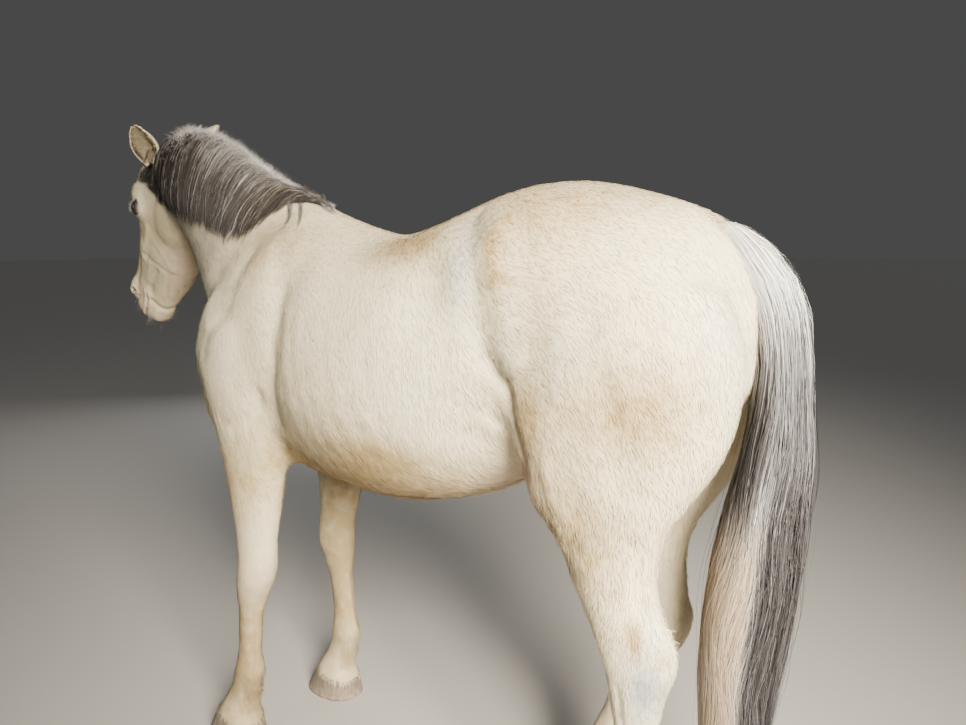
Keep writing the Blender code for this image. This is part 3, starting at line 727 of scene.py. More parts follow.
@dataclass
class EyePlace:
    """One eye: its ball and the almond that the lids leave open."""

    side: Side
    half_width: float = 0.0205
    rise: float = 0.0145
    drop: float = 0.012
    lid_gap: float = 0.0014

    def __post_init__(self) -> None:
        """Reads the ball from its node and turns the eye's axes with the head."""
        low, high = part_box("eye_" + self.side.word)
        self.centre = (np.array(low) + np.array(high)) / 2
        self.radius = float(min(high[i] - low[i] for i in range(3))) / 2
        s = self.side.value
        gaze = HEAD.turned((0.02, 0.13, s * 0.99))
        self.gaze = gaze / np.linalg.norm(gaze)
        nose = HEAD.turned((0.96, -0.26, 0))
        nose = nose - self.gaze * (nose @ self.gaze)
        self.nose = nose / np.linalg.norm(nose)
        self.up = np.cross(self.gaze, self.nose) * s
        if self.up @ HEAD.turned((0, 1, 0)) < 0:
            self.up = -self.up

    def local(self, points: Array) -> Array:
        """Points as distances to the nose, up and out along the gaze."""
        return (points - self.centre) @ np.column_stack([self.nose, self.up, self.gaze])

    def world(self, local: Array) -> Array:
        """The reverse of local."""
        return self.centre + local @ np.stack([self.nose, self.up, self.gaze])

    def lid_edge(self, points: Array) -> tuple[Array, Array]:
        """How far outside the open almond the points lie, and which of them are by this eye."""
        x, y, z = self.local(points).T
        reach = np.hypot(x, y)
        return reach - self.rim(np.arctan2(y, x)), (np.abs(z) < 0.035) & (reach < 0.05)

    def rim(self, angle: Array) -> Array:
        """The almond's radius in each direction."""
        c, s = np.abs(np.cos(angle)), np.abs(np.sin(angle))
        height = np.where(np.sin(angle) > 0, self.rise, self.drop)
        bend = height * c**2 / self.half_width**2
        root = np.sqrt(s**2 + 4 * height * bend)
        return np.where(bend > 1e-9, (root - s) / np.maximum(2 * bend, 1e-9), height)


@dataclass
class EarPlace:
    """One ear: its root, tip and the way its cup opens, in the head's axes."""

    side: Side
    root: Spot
    tip: Spot
    opening: Spot
    stations: tuple = (
        (-0.1, 0.0185, 0.0165, 0.0058),
        (0.05, 0.0238, 0.0198, 0.0056),
        (0.2, 0.0318, 0.0238, 0.0052),
        (0.38, 0.0378, 0.0248, 0.005),
        (0.56, 0.0358, 0.0218, 0.0048),
        (0.74, 0.0268, 0.0158, 0.0046),
        (0.88, 0.0155, 0.0095, 0.004),
        (0.965, 0.0065, 0.005, 0.003),
    )

    def __post_init__(self) -> None:
        """Sets the ear's axes in the frame."""
        s = self.side.value
        self.base = np.array(HEAD.place(self.root[0], self.root[1], s * self.root[2]))
        self.end = np.array(HEAD.place(self.tip[0], self.tip[1], s * self.tip[2]))
        self.axis = self.end - self.base
        self.length = float(np.linalg.norm(self.axis))
        self.upward = self.axis / self.length
        facing = np.array(self.opening, float)
        facing = facing - self.upward * (self.upward @ facing)
        self.facing = facing / np.linalg.norm(facing)
        self.across = np.cross(self.upward, self.facing)

    def sizes(self, along: Array) -> tuple[Array, Array, Array]:
        """The cup's half-width, depth and wall at shares of its length."""
        return tuple(read_off(self.stations, along))

    def centre(self, along: Array) -> Array:
        """The middle of the cup at shares of its length."""
        along = np.asarray(along, float)[..., None]
        return self.base + self.axis * along + self.facing * 0.012 * along**2

    def arc(self, along: float, turn: Array, inside: bool) -> Array:
        """Points round the cup's wall, by their turn from its back."""
        wide, deep, wall = self.sizes(along)
        less = wall if inside else 0.0
        return (
            self.centre(along)
            + self.across * ((wide - less) * np.sin(turn))[..., None]
            - self.facing * ((deep - less) * np.cos(turn))[..., None]
        )

    def shell(self) -> Piece:
        """The cupped ear as a closed wall."""
        turns = np.radians(np.linspace(-115, 115, 25))
        rings = []
        for along in np.linspace(self.stations[0][0], self.stations[-1][0], 18):
            outer, inner = self.arc(along, turns, False), self.arc(along, turns, True)
            rings.append([Vector(p) for p in [*outer, *inner[::-1]]])
        return loft("ear_shell", rings)

    def local(self, points: Array) -> Array:
        """Points as share of the length, distance across and distance towards the opening."""
        away = points - self.base
        along = away @ self.upward / self.length
        flat = points - self.centre(along)
        return np.column_stack([along, flat @ self.across, flat @ self.facing])

    def hollow(self, points: Array) -> Array:
        """1 on the hollow side of the ear's wall, 0 elsewhere."""
        along, across, facing = self.local(points).T
        wide, deep, wall = self.sizes(np.clip(along, 0, 1))
        reach = np.hypot(across / wide, facing / deep)
        return ((along > 0.08) & (along < 0.97) & (reach < 1 - wall / (2 * deep))).astype(float)


EYES = [EyePlace(Side.LEFT), EyePlace(Side.RIGHT)]
EARS = [
    EarPlace(Side.LEFT, (0.028, -0.018, 0.056), (-0.085, 0.03, 0.118), (0.6, 0.68, -0.35)),
    EarPlace(Side.RIGHT, (0.018, -0.018, 0.056), (-0.122, -0.025, 0.114), (-0.8, 0.45, -0.3)),
]


# The left nostril and the line of the closed mouth on the left side, in the head's axes.
NOSTRIL = (0.492, -0.052, 0.04)
MOUTH = (
    (0.566, -0.12, 0),
    (0.56, -0.121, 0.016),
    (0.543, -0.127, 0.037),
    (0.508, -0.133, 0.045),
    (0.476, -0.131, 0.048),
    (0.452, -0.126, 0.05),
)


# ---- skin ----


@dataclass
class Skin:
    """The one skin of body, legs, head and ears, under the coat."""

    form_voxel: float = 0.008
    skin_voxel: float = 0.0042
    overlap: float = 0.0008
    triangles: int = 128_000
    fine_reach: float = 0.042
    eye_sink: float = 0.0035

    def build(self) -> Piece:
        """Fuses, smooths and sculpts the skin.

        Returns:
            The skin, which is to take the place of the flesh nodes.
        """
        body = join([self._form(), *(ear.shell() for ear in EARS)], "skin")
        remesh(body, self.skin_voxel)
        relax(body, 7, np.full(len(body.data.vertices), 0.8))
        self._thin_out(body)
        self._refine(body)
        clay = Clay(body)
        self._sculpt_face(clay)
        self._sculpt_limbs(clay)
        self._sculpt_body(clay)
        for eye in EYES:
            self._open_lids(clay, eye)
        self._open_nostrils(clay)
        self._open_mouth(clay)
        self._unwrap(body)
        shade_smooth(body.data)
        return body

    def _form(self) -> Piece:
        """The flesh without its cuts and facets, sunk by the coat's depth."""
        copies = [copy_of(name) for name in (*FLESH, *HOOFS)]
        for copy in copies:
            put_points(copy, points_of(copy) + normals_of(copy) * self.overlap)
        for eye in EYES:
            copies.append(copy_of("eye_" + eye.side.word))
            put_points(copies[-1], points_of(copies[-1]) - normals_of(copies[-1]) * self.eye_sink)
        body = join(copies, "form")
        remesh(body, self.form_voxel)
        points = points_of(body)
        face = ease(-0.66, -0.78, points[:, 1]) * ease(1.0, 1.05, points[:, 2])
        soft = ease(0.62, 0.8, points[:, 2])
        share = (0.16 + 0.84 * soft) * (1 - 0.72 * face)
        relax(body, 70, share)
        points = points_of(body)
        put_points(body, points - normals_of(body) * self.depth(points)[:, None])
        return body

    @staticmethod
    def depth(points: Array) -> Array:
        """How far the skin lies under the coat's reach."""
        head = HEAD.local(points)
        legs = ease(0.8, 0.62, points[:, 2])
        deep = 0.0055 - 0.0025 * legs
        face = ease(-0.02, 0.1, head[:, 0]) * ease(-0.62, -0.72, points[:, 1])
        return deep * (1 - face) + (0.003 - 0.0016 * ease(0.25, 0.45, head[:, 0])) * face

    def _thin_out(self, body: Piece) -> None:
        """Takes triangles from the body and leaves those of the head."""
        points = points_of(body)
        head = ease(-0.6, -0.72, points[:, 1]) * ease(1.0, 1.1, points[:, 2])
        group = body.vertex_groups.new(name="body")
        for number in np.nonzero(head < 0.5)[0].tolist():
            group.add([number], 1.0, "REPLACE")
        modifier = body.modifiers.new("thin_out", "DECIMATE")
        modifier.ratio = self.triangles / (2 * len(body.data.polygons))
        modifier.vertex_group = group.name
        modifier.use_collapse_triangulate = True
        apply_modifiers(body)
        body.vertex_groups.clear()

    def _refine(self, body: Piece) -> None:
        """Splits the faces round eyes, nostrils and lips, where the detail is finest."""
        spots = [(eye.centre, self.fine_reach) for eye in EYES]
        for s in (-1, 1):
            spots.append((np.array(HEAD.place(0.49, -0.052, s * 0.045)), 0.04))
            spots.append((np.array(HEAD.place(0.47, -0.124, s * 0.04)), 0.034))
            spots.append((np.array(HEAD.place(0.53, -0.116, s * 0.02)), 0.034))
        centres = read(body.data.polygons, "center", 3)
        chosen = np.zeros(len(centres), bool)
        for centre, reach in spots:
            chosen |= np.linalg.norm(centres - centre, axis=1) < reach
        select_only(body)
        body.data.polygons.foreach_set("select", chosen)
        bpy.ops.object.mode_set(mode="EDIT")
        bpy.ops.mesh.select_mode(type="FACE")
        bpy.ops.mesh.subdivide(number_cuts=2, smoothness=0.0)
        bpy.ops.mesh.quads_convert_to_tris()
        bpy.ops.mesh.select_all(action="DESELECT")
        bpy.ops.object.mode_set(mode="OBJECT")

    @staticmethod
    def _sculpt_face(clay: Clay) -> None:
        """Bones, cheeks, lips, veins and wrinkles of the head."""

        def carve(width: float, height: float, *path: tuple) -> None:
            clay.stroke(path, width, height, on_head=True)

        def swell(place: tuple, radii: tuple, height: float) -> None:
            clay.bump(place, radii, height, on_head=True)

        carve(0.011, 0.0034, (0.205, -0.088, 0.086), (0.27, -0.09, 0.078), (0.33, -0.088, 0.066))
        brow = ((0.1, -0.02, 0.078), (0.13, 0.004, 0.075), (0.165, 0.006, 0.075), (0.2, -0.008, 0.078))
        carve(0.01, 0.004, *brow)
        swell((0.085, 0.004, 0.062), (0.024, 0.02, 0.018), -0.005)
        carve(0.01, 0.0022, (0.26, 0.004, 0.03), (0.34, -0.004, 0.026), (0.43, -0.01, 0.022))
        carve(0.014, -0.004, (0.37, -0.05, 0.056), (0.42, -0.056, 0.05), (0.455, -0.06, 0.047))
        cheek = ((0.294, -0.225, 0.044), (0.299, -0.183, 0.061), (0.309, -0.13, 0.068), (0.308, -0.096, 0.07))
        carve(0.009, -0.0016, *cheek, (0.299, -0.067, 0.076))
        carve(0.02, 0.0008, (0.275, -0.215, 0.05), (0.278, -0.17, 0.064), (0.285, -0.125, 0.07))
        carve(0.006, -0.0014, (0.315, -0.204, 0.052), (0.364, -0.202, 0.043), (0.415, -0.199, 0.032))
        jaw = ((0.03, -0.17, 0.06), (0.08, -0.215, 0.06), (0.15, -0.235, 0.056), (0.2, -0.238, 0.052))
        carve(0.013, 0.003, *jaw)
        carve(0.011, 0.0014, (0.24, -0.215, 0.055), (0.31, -0.215, 0.048), (0.4, -0.205, 0.035))
        carve(0.013, -0.0034, (0.33, -0.155, 0.062), (0.38, -0.145, 0.057), (0.42, -0.137, 0.052))
        vein = ((0.205, -0.075, 0.088), (0.235, -0.125, 0.08), (0.245, -0.17, 0.074), (0.285, -0.222, 0.05))
        carve(0.0044, 0.0007, *vein)
        carve(0.0042, 0.0007, (0.235, -0.125, 0.08), (0.3, -0.1, 0.07), (0.36, -0.075, 0.06))
        carve(0.0035, 0.0009, (0.29, -0.11, 0.07), (0.35, -0.12, 0.063), (0.4, -0.115, 0.056))
        for back in (0.0, 0.012, 0.024):
            x = 0.44 - back
            carve(0.0032, -0.0014, (x, -0.105, 0.055), (x - 0.008, -0.13, 0.053), (x, -0.155, 0.05))
        swell((0.448, -0.128, 0.052), (0.014, 0.02, 0.014), 0.003)
        swell((0.52, -0.098, 0.042), (0.034, 0.02, 0.02), 0.004)
        swell((0.556, -0.09, 0.01), (0.016, 0.022, 0.024), 0.005)
        carve(0.008, -0.0026, (0.535, -0.066, 0.034), (0.518, -0.08, 0.048), (0.492, -0.088, 0.053))
        swell((0.52, -0.165, 0.012), (0.03, 0.02, 0.026), 0.006)
        carve(0.011, -0.005, (0.47, -0.178, 0.0), (0.468, -0.17, 0.026), (0.463, -0.15, 0.044))
        clay.commit()

    @staticmethod
    def _sculpt_limbs(clay: Clay) -> None:
        """Tendons, knees, hocks and fetlocks."""
        for side, x, y in ((Side.LEFT, 0.18, -0.195), (Side.RIGHT, 0.17, -0.195 + 0.05)):
            for at in (x, x - 0.05):
                cannon = ((at, y, 0.375), (at, y - 0.01, 0.29), (at, y - 0.008, 0.215))
                clay.stroke(cannon, 0.007, -0.0035, side=side)
            for z in (0.44, 0.485):
                knee = ((x + 0.02, y - 0.06, z), (x - 0.02, y - 0.085, z), (x - 0.06, y - 0.06, z))
                clay.stroke(knee, 0.009, -0.0018, side=side)
        for side, width, height, *path in (
            (Side.LEFT, 0.007, -0.0035, (0.175, 0.835, 0.5), (0.175, 0.85, 0.4), (0.175, 0.85, 0.24)),
            (Side.LEFT, 0.012, -0.006, (0.185, 0.86, 0.8), (0.185, 0.87, 0.72), (0.18, 0.885, 0.65)),
            (Side.RIGHT, 0.012, -0.006, (0.165, 0.835, 0.8), (0.155, 0.825, 0.72), (0.15, 0.83, 0.65)),
            (Side.RIGHT, 0.007, -0.0035, (0.17, 0.7, 0.47), (0.17, 0.675, 0.36), (0.17, 0.655, 0.24)),
        ):
            clay.stroke(path, width, height, side=side)
        clay.commit()

    @staticmethod
    def _sculpt_body(clay: Clay) -> None:
        """The muscles, folds and bones that show through the coat."""
        top = ease(1.18, 1.32, clay.points[:, 2])
        along = clay.points[:, 1]
        for place, reach, rise in ((0.385, 0.075, -0.005), (0.655, 0.105, 0.0055), (0.91, 0.085, 0.0105)):
            clay.points[:, 2] += rise * top * np.exp(-(((along - place) / reach) ** 2))
        clay.commit()
        hip = ((0.185, 0.575, 1.355), (0.232, 0.608, 1.28), (0.262, 0.64, 1.19), (0.262, 0.65, 1.1))
        shoulder = ((0.16, -0.075, 1.33), (0.215, -0.02, 1.2), (0.225, -0.015, 1.05), (0.19, -0.03, 0.93))
        for width, height, *path in (
            (0.026, -0.011, (0.15, 0.48, 1.37), (0.205, 0.53, 1.31), (0.25, 0.565, 1.21), (0.255, 0.58, 1.1)),
            (0.02, 0.0055, *hip),
            (0.03, -0.006, (0.262, 0.6, 1.05), (0.25, 0.55, 1.0), (0.235, 0.5, 0.95)),
            (0.015, -0.01, (0.25, 0.6, 1.1), (0.236, 0.622, 1.01), (0.228, 0.65, 0.92), (0.2, 0.64, 0.85)),
            (0.01, -0.004, (0.205, 0.555, 1.005), (0.2, 0.59, 0.96)),
            (0.016, 0.005, (0.23, 0.555, 0.995), (0.215, 0.6, 0.925)),
            (0.026, -0.0065, *shoulder),
            (0.02, -0.0045, (0.15, -0.19, 1.3), (0.195, -0.22, 1.16), (0.2, -0.3, 1.04)),
            (0.018, -0.0075, (0.19, -0.1, 0.96), (0.18, -0.16, 0.9), (0.165, -0.26, 0.87)),
            (0.028, -0.0045, (0.262, 0.79, 1.2), (0.262, 0.84, 1.05), (0.235, 0.87, 0.9)),
            (0.026, -0.005, (0.2, 0.96, 1.22), (0.21, 0.97, 1.05), (0.185, 0.92, 0.88)),
            (0.016, 0.004, (0.24, 0.71, 0.92), (0.225, 0.735, 0.84), (0.205, 0.72, 0.77)),
            (0.02, 0.004, (0.05, -0.46, 1.0), (0.05, -0.44, 0.9)),
        ):
            clay.stroke(path, width, height)
        clay.bump((0.21, 0.585, 1.3), (0.04, 0.035, 0.035), 0.005)
        clay.bump((0.0, -0.455, 0.875), (0.22, 0.06, 0.05), -0.014)
        for k in range(6):
            y = 0.02 + 0.062 * k
            clay.stroke(((0.24, y - 0.03, 1.16), (0.275, y, 1.02), (0.24, y + 0.035, 0.88)), 0.014, -0.0018)
        clay.commit()

    @staticmethod
    def _open_lids(clay: Clay, eye: EyePlace) -> None:
        """Shapes the lids over the ball, with their folds, and opens the almond between."""
        local = eye.local(clay.points)
        flat = np.hypot(local[:, 0], local[:, 1])
        where = np.nonzero((flat < 0.04) & (local[:, 2] > -0.05))[0]
        x, y, z = local[where].T
        reach = flat[where]
        angle = np.arctan2(y, x)
        away = reach - eye.rim(angle)
        shell = eye.radius + eye.lid_gap
        lid = np.sqrt(np.maximum(shell**2 - reach**2, (0.42 * shell) ** 2))
        lid += 0.001 * np.exp(-(((away - 0.0015) / 0.0016) ** 2))
        upper = ease(-0.3, 0.5, np.sin(angle))
        lid += 0.0016 * upper * np.exp(-(((away - 0.0042) / 0.0028) ** 2))
        new = lid + (z - lid) * ease(0.0035, 0.015, away)
        for depth, lid_share, place, width in (
            (0.0019, upper, 0.0078, 0.0013),
            (0.0013, upper, 0.0125, 0.0014),
            (0.0009, upper, 0.0175, 0.0016),
            (0.0011, 1 - upper, 0.007, 0.0014),
        ):
            new -= depth * lid_share * np.exp(-(((away - place) / width) ** 2))
        behind = np.sqrt(np.maximum(eye.radius**2 - reach**2, 0)) - 0.0045
        new = behind + (new - behind) * ease(-0.0016, 0.0002, away)
        clay.points[where] += eye.gaze * (new - z)[:, None]
        clay.commit()

    @staticmethod
    def _open_nostrils(clay: Clay) -> None:
        """Cuts a comma-shaped hollow with a raised rim on each side of the nose."""
        for s in (-1, 1):
            centre = np.array(HEAD.place(0.492, -0.052, s * 0.047))
            out = HEAD.turned((0.42, -0.05, s * 0.9))
            out = out / np.linalg.norm(out)
            long = HEAD.turned((0.62, 0.78, 0))
            long = unit(long - out * (long @ out))
            short = np.cross(out, long)
            away = clay.points - centre
            x, y, z = away @ long, away @ short, away @ out
            y = y - 16.0 * x**2 * s
            where = np.nonzero((np.hypot(x, y) < 0.036) & (np.abs(z) < 0.028))[0]
            x, y = x[where], y[where]
            edge = (np.sqrt((x / 0.0185) ** 2 + (y / 0.0095) ** 2) - 1) * 0.0115
            press = -0.017 * ease(0.0006, -0.0075, edge)
            press += 0.0022 * np.exp(-(((edge - 0.003) / 0.003) ** 2))
            press -= 0.0012 * np.exp(-(((edge - 0.0105) / 0.003) ** 2))
            clay.points[where] += out * press[:, None]
        clay.commit()

    @staticmethod
    def _open_mouth(clay: Clay) -> None:
        """Draws the closed mouth from the front of the lips to their corners."""
        clay.stroke([(a + 0.002, b + 0.01, c) for a, b, c in MOUTH], 0.0075, 0.0026, on_head=True)
        clay.stroke([(a, b - 0.01, c) for a, b, c in MOUTH], 0.0075, 0.0024, on_head=True)
        for width, height in ((0.0042, -0.0032), (0.0026, -0.005)):
            clay.commit()
            clay.stroke(MOUTH, width, height, on_head=True)
        clay.commit()

    @staticmethod
    def _unwrap(body: Piece) -> None:
        """Lays the skin out flat, as the ground for every tuft's patch."""
        body.data.uv_layers.new(name=BAKE_MAP)
        select_only(body)
        bpy.ops.object.mode_set(mode="EDIT")
        bpy.ops.mesh.select_all(action="SELECT")
        bpy.ops.uv.smart_project(angle_limit=math.radians(66), island_margin=0.002)
        bpy.ops.mesh.select_all(action="DESELECT")
        bpy.ops.object.mode_set(mode="OBJECT")


# ---- markings and painted shade ----


class Mark(Enum):
    """What a patch adds to the white coat. The value is its channel."""

    WARM = 0
    COOL = 1
    PINK = 2
    DARK = 3


@dataclass(frozen=True)
class Patch:
    """A soft-edged patch: its middle, its radii and how strong it is there."""

    mark: Mark
    place: Spot
    radii: Spot
    strength: float
    both: bool = True
    on_head: bool = False


WARM, COOL, PINK, DARK = Mark
# Patches of stain, grey hair and pink and dark skin, and patches of painted shade, marked one by one below.
PATCHES = (
    Patch(WARM, (0.26, 0.85, 1.035), (0.09, 0.1, 0.065), 0.62),
    Patch(WARM, (0.245, 0.94, 1.05), (0.09, 0.08, 0.1), 0.48),
    Patch(WARM, (0.247, 0.678, 1.005), (0.06, 0.034, 0.075), 0.85),
    Patch(WARM, (0.25, 0.8, 1.12), (0.16, 0.26, 0.24), 0.2),
    Patch(WARM, (0.2, 0.66, 1.33), (0.12, 0.12, 0.08), 0.45),
    Patch(WARM, (0.222, 0.586, 1.32), (0.05, 0.014, 0.05), 0.95),
    Patch(WARM, (0.252, 0.604, 1.25), (0.05, 0.013, 0.055), 0.85),
    Patch(WARM, (0.262, 0.7, 1.19), (0.05, 0.045, 0.09), 0.35),
    Patch(WARM, (0.145, 0.275, 1.306), (0.08, 0.1, 0.04), 0.85),
    Patch(WARM, (0.18, 0.385, 1.315), (0.08, 0.07, 0.05), 0.75),
    Patch(WARM, (0.252, 0.329, 0.876), (0.05, 0.055, 0.026), 1.15),
    Patch(WARM, (0.25, 0.27, 0.88), (0.08, 0.14, 0.06), 0.55),
    # The belly's tan stain, made stronger as painted shade on the underside.
    Patch(WARM, (0.16, 0.2, 0.775), (0.16, 0.38, 0.12), 1.1),
    Patch(WARM, (0.15, 0.68, 1.38), (0.14, 0.2, 0.06), 0.4),
    Patch(WARM, (0.225, 0.76, 0.8), (0.07, 0.11, 0.14), 0.7),
    Patch(WARM, (0.192, 0.865, 0.621), (0.022, 0.012, 0.022), 2.2, both=False),
    Patch(WARM, (0.175, 0.925, 0.59), (0.02, 0.018, 0.018), 0.8),
    Patch(WARM, (0.14, -0.13, 1.33), (0.09, 0.14, 0.09), 0.6),
    Patch(WARM, (0.1, -0.48, 1.33), (0.14, 0.22, 0.16), 0.26),
    Patch(WARM, (0.19, -0.2, 0.72), (0.06, 0.07, 0.1), 0.4),
    # The far foreleg: its tan made stronger, and grey, as painted shade on the side away from the light.
    Patch(WARM, (-0.12, -0.16, 0.54), (0.09, 0.09, 0.24), 0.7, both=False),
    Patch(COOL, (-0.12, -0.16, 0.52), (0.09, 0.09, 0.26), 0.55, both=False),
    Patch(WARM, (0.14, -0.02, 0.8), (0.08, 0.08, 0.05), 0.6),
    # The forelegs below the knee: a tan stain, with grey and dark added as painted shade where the light
    # falls off.
    Patch(WARM, (0.15, -0.24, 0.24), (0.14, 0.18, 0.28), 1.05),
    Patch(COOL, (0.15, -0.24, 0.25), (0.14, 0.18, 0.26), 0.42),
    Patch(DARK, (0.15, -0.24, 0.2), (0.14, 0.18, 0.28), 0.34),
    # Painted shade on the far foreleg.
    Patch(DARK, (-0.12, -0.16, 0.5), (0.08, 0.08, 0.26), 0.3, both=False),
    Patch(WARM, (0.14, 0.72, 0.12), (0.14, 0.26, 0.22), 0.8),
    # The far foreleg's tan, deepened as painted shade.
    Patch(WARM, (-0.12, -0.18, 0.33), (0.09, 0.1, 0.33), 0.25, both=False),
    Patch(WARM, (0.2, -0.12, 0.05), (0.26, 0.16, 0.09), 0.26, on_head=True),
    # Painted shade in the loin hollow, grey.
    Patch(COOL, (0.235, 0.525, 1.285), (0.07, 0.035, 0.11), 0.95),
    # Painted shade, grey, in the band behind the hip ridge.
    Patch(COOL, (0.262, 0.74, 1.13), (0.05, 0.05, 0.08), 0.55),
    Patch(COOL, (0.18, 1, 1.15), (0.07, 0.05, 0.15), 0.4),
    # Painted shade on the shoulder, greyer.
    Patch(COOL, (0.227, -0.247, 1.055), (0.1, 0.12, 0.18), 0.32),
    # The neck under the mane: a slight grey tint, deepened as painted shade.
    Patch(COOL, (0.1, -0.45, 1.27), (0.14, 0.26, 0.16), 0.62),
    Patch(DARK, (0.11, -0.4, 1.29), (0.1, 0.22, 0.09), 0.14),
    # Painted shade on the top of the croup, grey-tan.
    Patch(WARM, (0.08, 0.7, 1.4), (0.14, 0.24, 0.045), 0.3),
    Patch(COOL, (0.06, 0.7, 1.4), (0.13, 0.24, 0.045), 0.25),
    Patch(COOL, (0.06, -0.04, 0.075), (0.1, 0.1, 0.09), 0.3, on_head=True),
    Patch(COOL, (0.18, 0.47, 1.345), (0.06, 0.05, 0.05), 0.45),
    # Painted shade, grey, in the band behind the hip ridge.
    Patch(COOL, (0.262, 0.65, 1.12), (0.06, 0.045, 0.12), 0.38),
    Patch(COOL, (0.262, 0.2, 1.1), (0.08, 0.18, 0.14), 0.22),
    # Painted shade behind the shoulder.
    Patch(COOL, (0.2, 0.04, 1.2), (0.06, 0.06, 0.06), 0.25),
    Patch(COOL, (0.188, 0.89, 0.53), (0.045, 0.04, 0.065), 1.2),
    Patch(COOL, (0.19, 0.895, 0.66), (0.03, 0.02, 0.06), 0.4),
    Patch(COOL, (0.15, 0.85, 0.35), (0.07, 0.07, 0.15), 0.35),
    # Painted shade on the far hind leg.
    Patch(COOL, (-0.15, 0.7, 0.4), (0.07, 0.09, 0.25), 0.4, both=False),
    Patch(PINK, (0.215, 0.65, 0.9), (0.05, 0.04, 0.04), 0.85),
    Patch(PINK, (0.1, 0.58, 0.81), (0.1, 0.1, 0.06), 0.8),
    Patch(PINK, (0.06, 0.35, 0.73), (0.12, 0.3, 0.04), 0.4),
    Patch(PINK, (0, 0.98, 1.15), (0.05, 0.06, 0.12), 0.8),
    Patch(PINK, (0.06, 0.8, 0.8), (0.05, 0.12, 0.15), 0.5),
    Patch(PINK, (0.505, -0.095, 0.02), (0.055, 0.1, 0.07), 0.55, on_head=True),
    Patch(PINK, (0.26, -0.24, 0.03), (0.12, 0.035, 0.05), 0.65, on_head=True),
    Patch(PINK, (0.19, -0.05, 0.095), (0.035, 0.03, 0.03), 0.25, on_head=True),
    Patch(COOL, (0.25, 0.44, 1.02), (0.09, 0.13, 0.15), 0.28),
    Patch(DARK, (0.19, 0.903, 0.522), (0.035, 0.032, 0.05), 0.2),
    Patch(DARK, (0.192, 0.865, 0.621), (0.016, 0.009, 0.017), 0.12, both=False),
    # Painted shade on the far hind leg, dark and brownish.
    Patch(DARK, (-0.15, 0.72, 0.56), (0.09, 0.14, 0.3), 0.24, both=False),
    Patch(WARM, (-0.15, 0.72, 0.56), (0.09, 0.14, 0.3), 0.35, both=False),
    # Painted shade in the crease at the front of the cheek muscle.
    Patch(DARK, (0.3, -0.094, 0.075), (0.006, 0.004, 0.012), 0.6, on_head=True),
    Patch(DARK, (0.345, -0.11, 0.066), (0.005, 0.005, 0.012), 0.45, on_head=True),
    # Painted shade at the corner of the mouth.
    Patch(DARK, (0.456, -0.128, 0.049), (0.008, 0.005, 0.012), 0.65, on_head=True),
)


def marks_at(points: Array) -> Array:
    """How warm, cool, pink and dark the coat is at these points, (n, 4)."""
    found = np.zeros((len(points), 4))
    heads = HEAD.local(points)
    for patch in PATCHES:
        place = heads if patch.on_head else points
        if patch.both:
            place = fold(place, patch.on_head)
        away = (((place - patch.place) / patch.radii) ** 2).sum(axis=1)
        faint = patch.both & (not patch.on_head) & (points[:, 0] < -0.02)
        found[:, patch.mark.value] += np.where(faint, 0.5, 1.0) * patch.strength * np.exp(-away)
    for eye in EYES:
        away, near = eye.lid_edge(points)
        found[:, 3] += near * (1 - ease(0.0028, 0.01, away)) * 1.2
        found[:, 1] += near * (1 - ease(0.004, 0.016, away)) * 0.5
    for s in (-1, 1):
        centre = np.array(HEAD.place(*NOSTRIL[:2], s * NOSTRIL[2]))
        away = np.linalg.norm((points - centre) @ HEAD.matrix / (1.25, 1.25, 0.9), axis=1)
        found[:, 3] += 0.85 * (1 - ease(0.006, 0.019, away))
    # The closed mouth: dark lip skin, with painted shade in the crease between the lips.
    line = np.concatenate([np.linspace(a, b, 8) for a, b in zip(MOUTH, MOUTH[1:])])
    near = np.nonzero((heads[:, 0] > 0.43) & (np.abs(heads[:, 1] + 0.125) < 0.02))[0]
    gap = ((fold(heads[near], True)[:, None] - line) ** 2).sum(axis=2).min(axis=1)
    found[near, 3] += np.exp(-gap / 0.0027**2)
    for ear in EARS:
        inside = ear.hollow(points)
        found[:, 3] += inside * (0.38 + 0.42 * ease(0.75, 0.25, ear.local(points)[:, 0]))
        found[:, :2] += inside[:, None] * (0.55, 0.5)
    return np.clip(found, 0, 1.2)


# ---- the lie of the coat ----


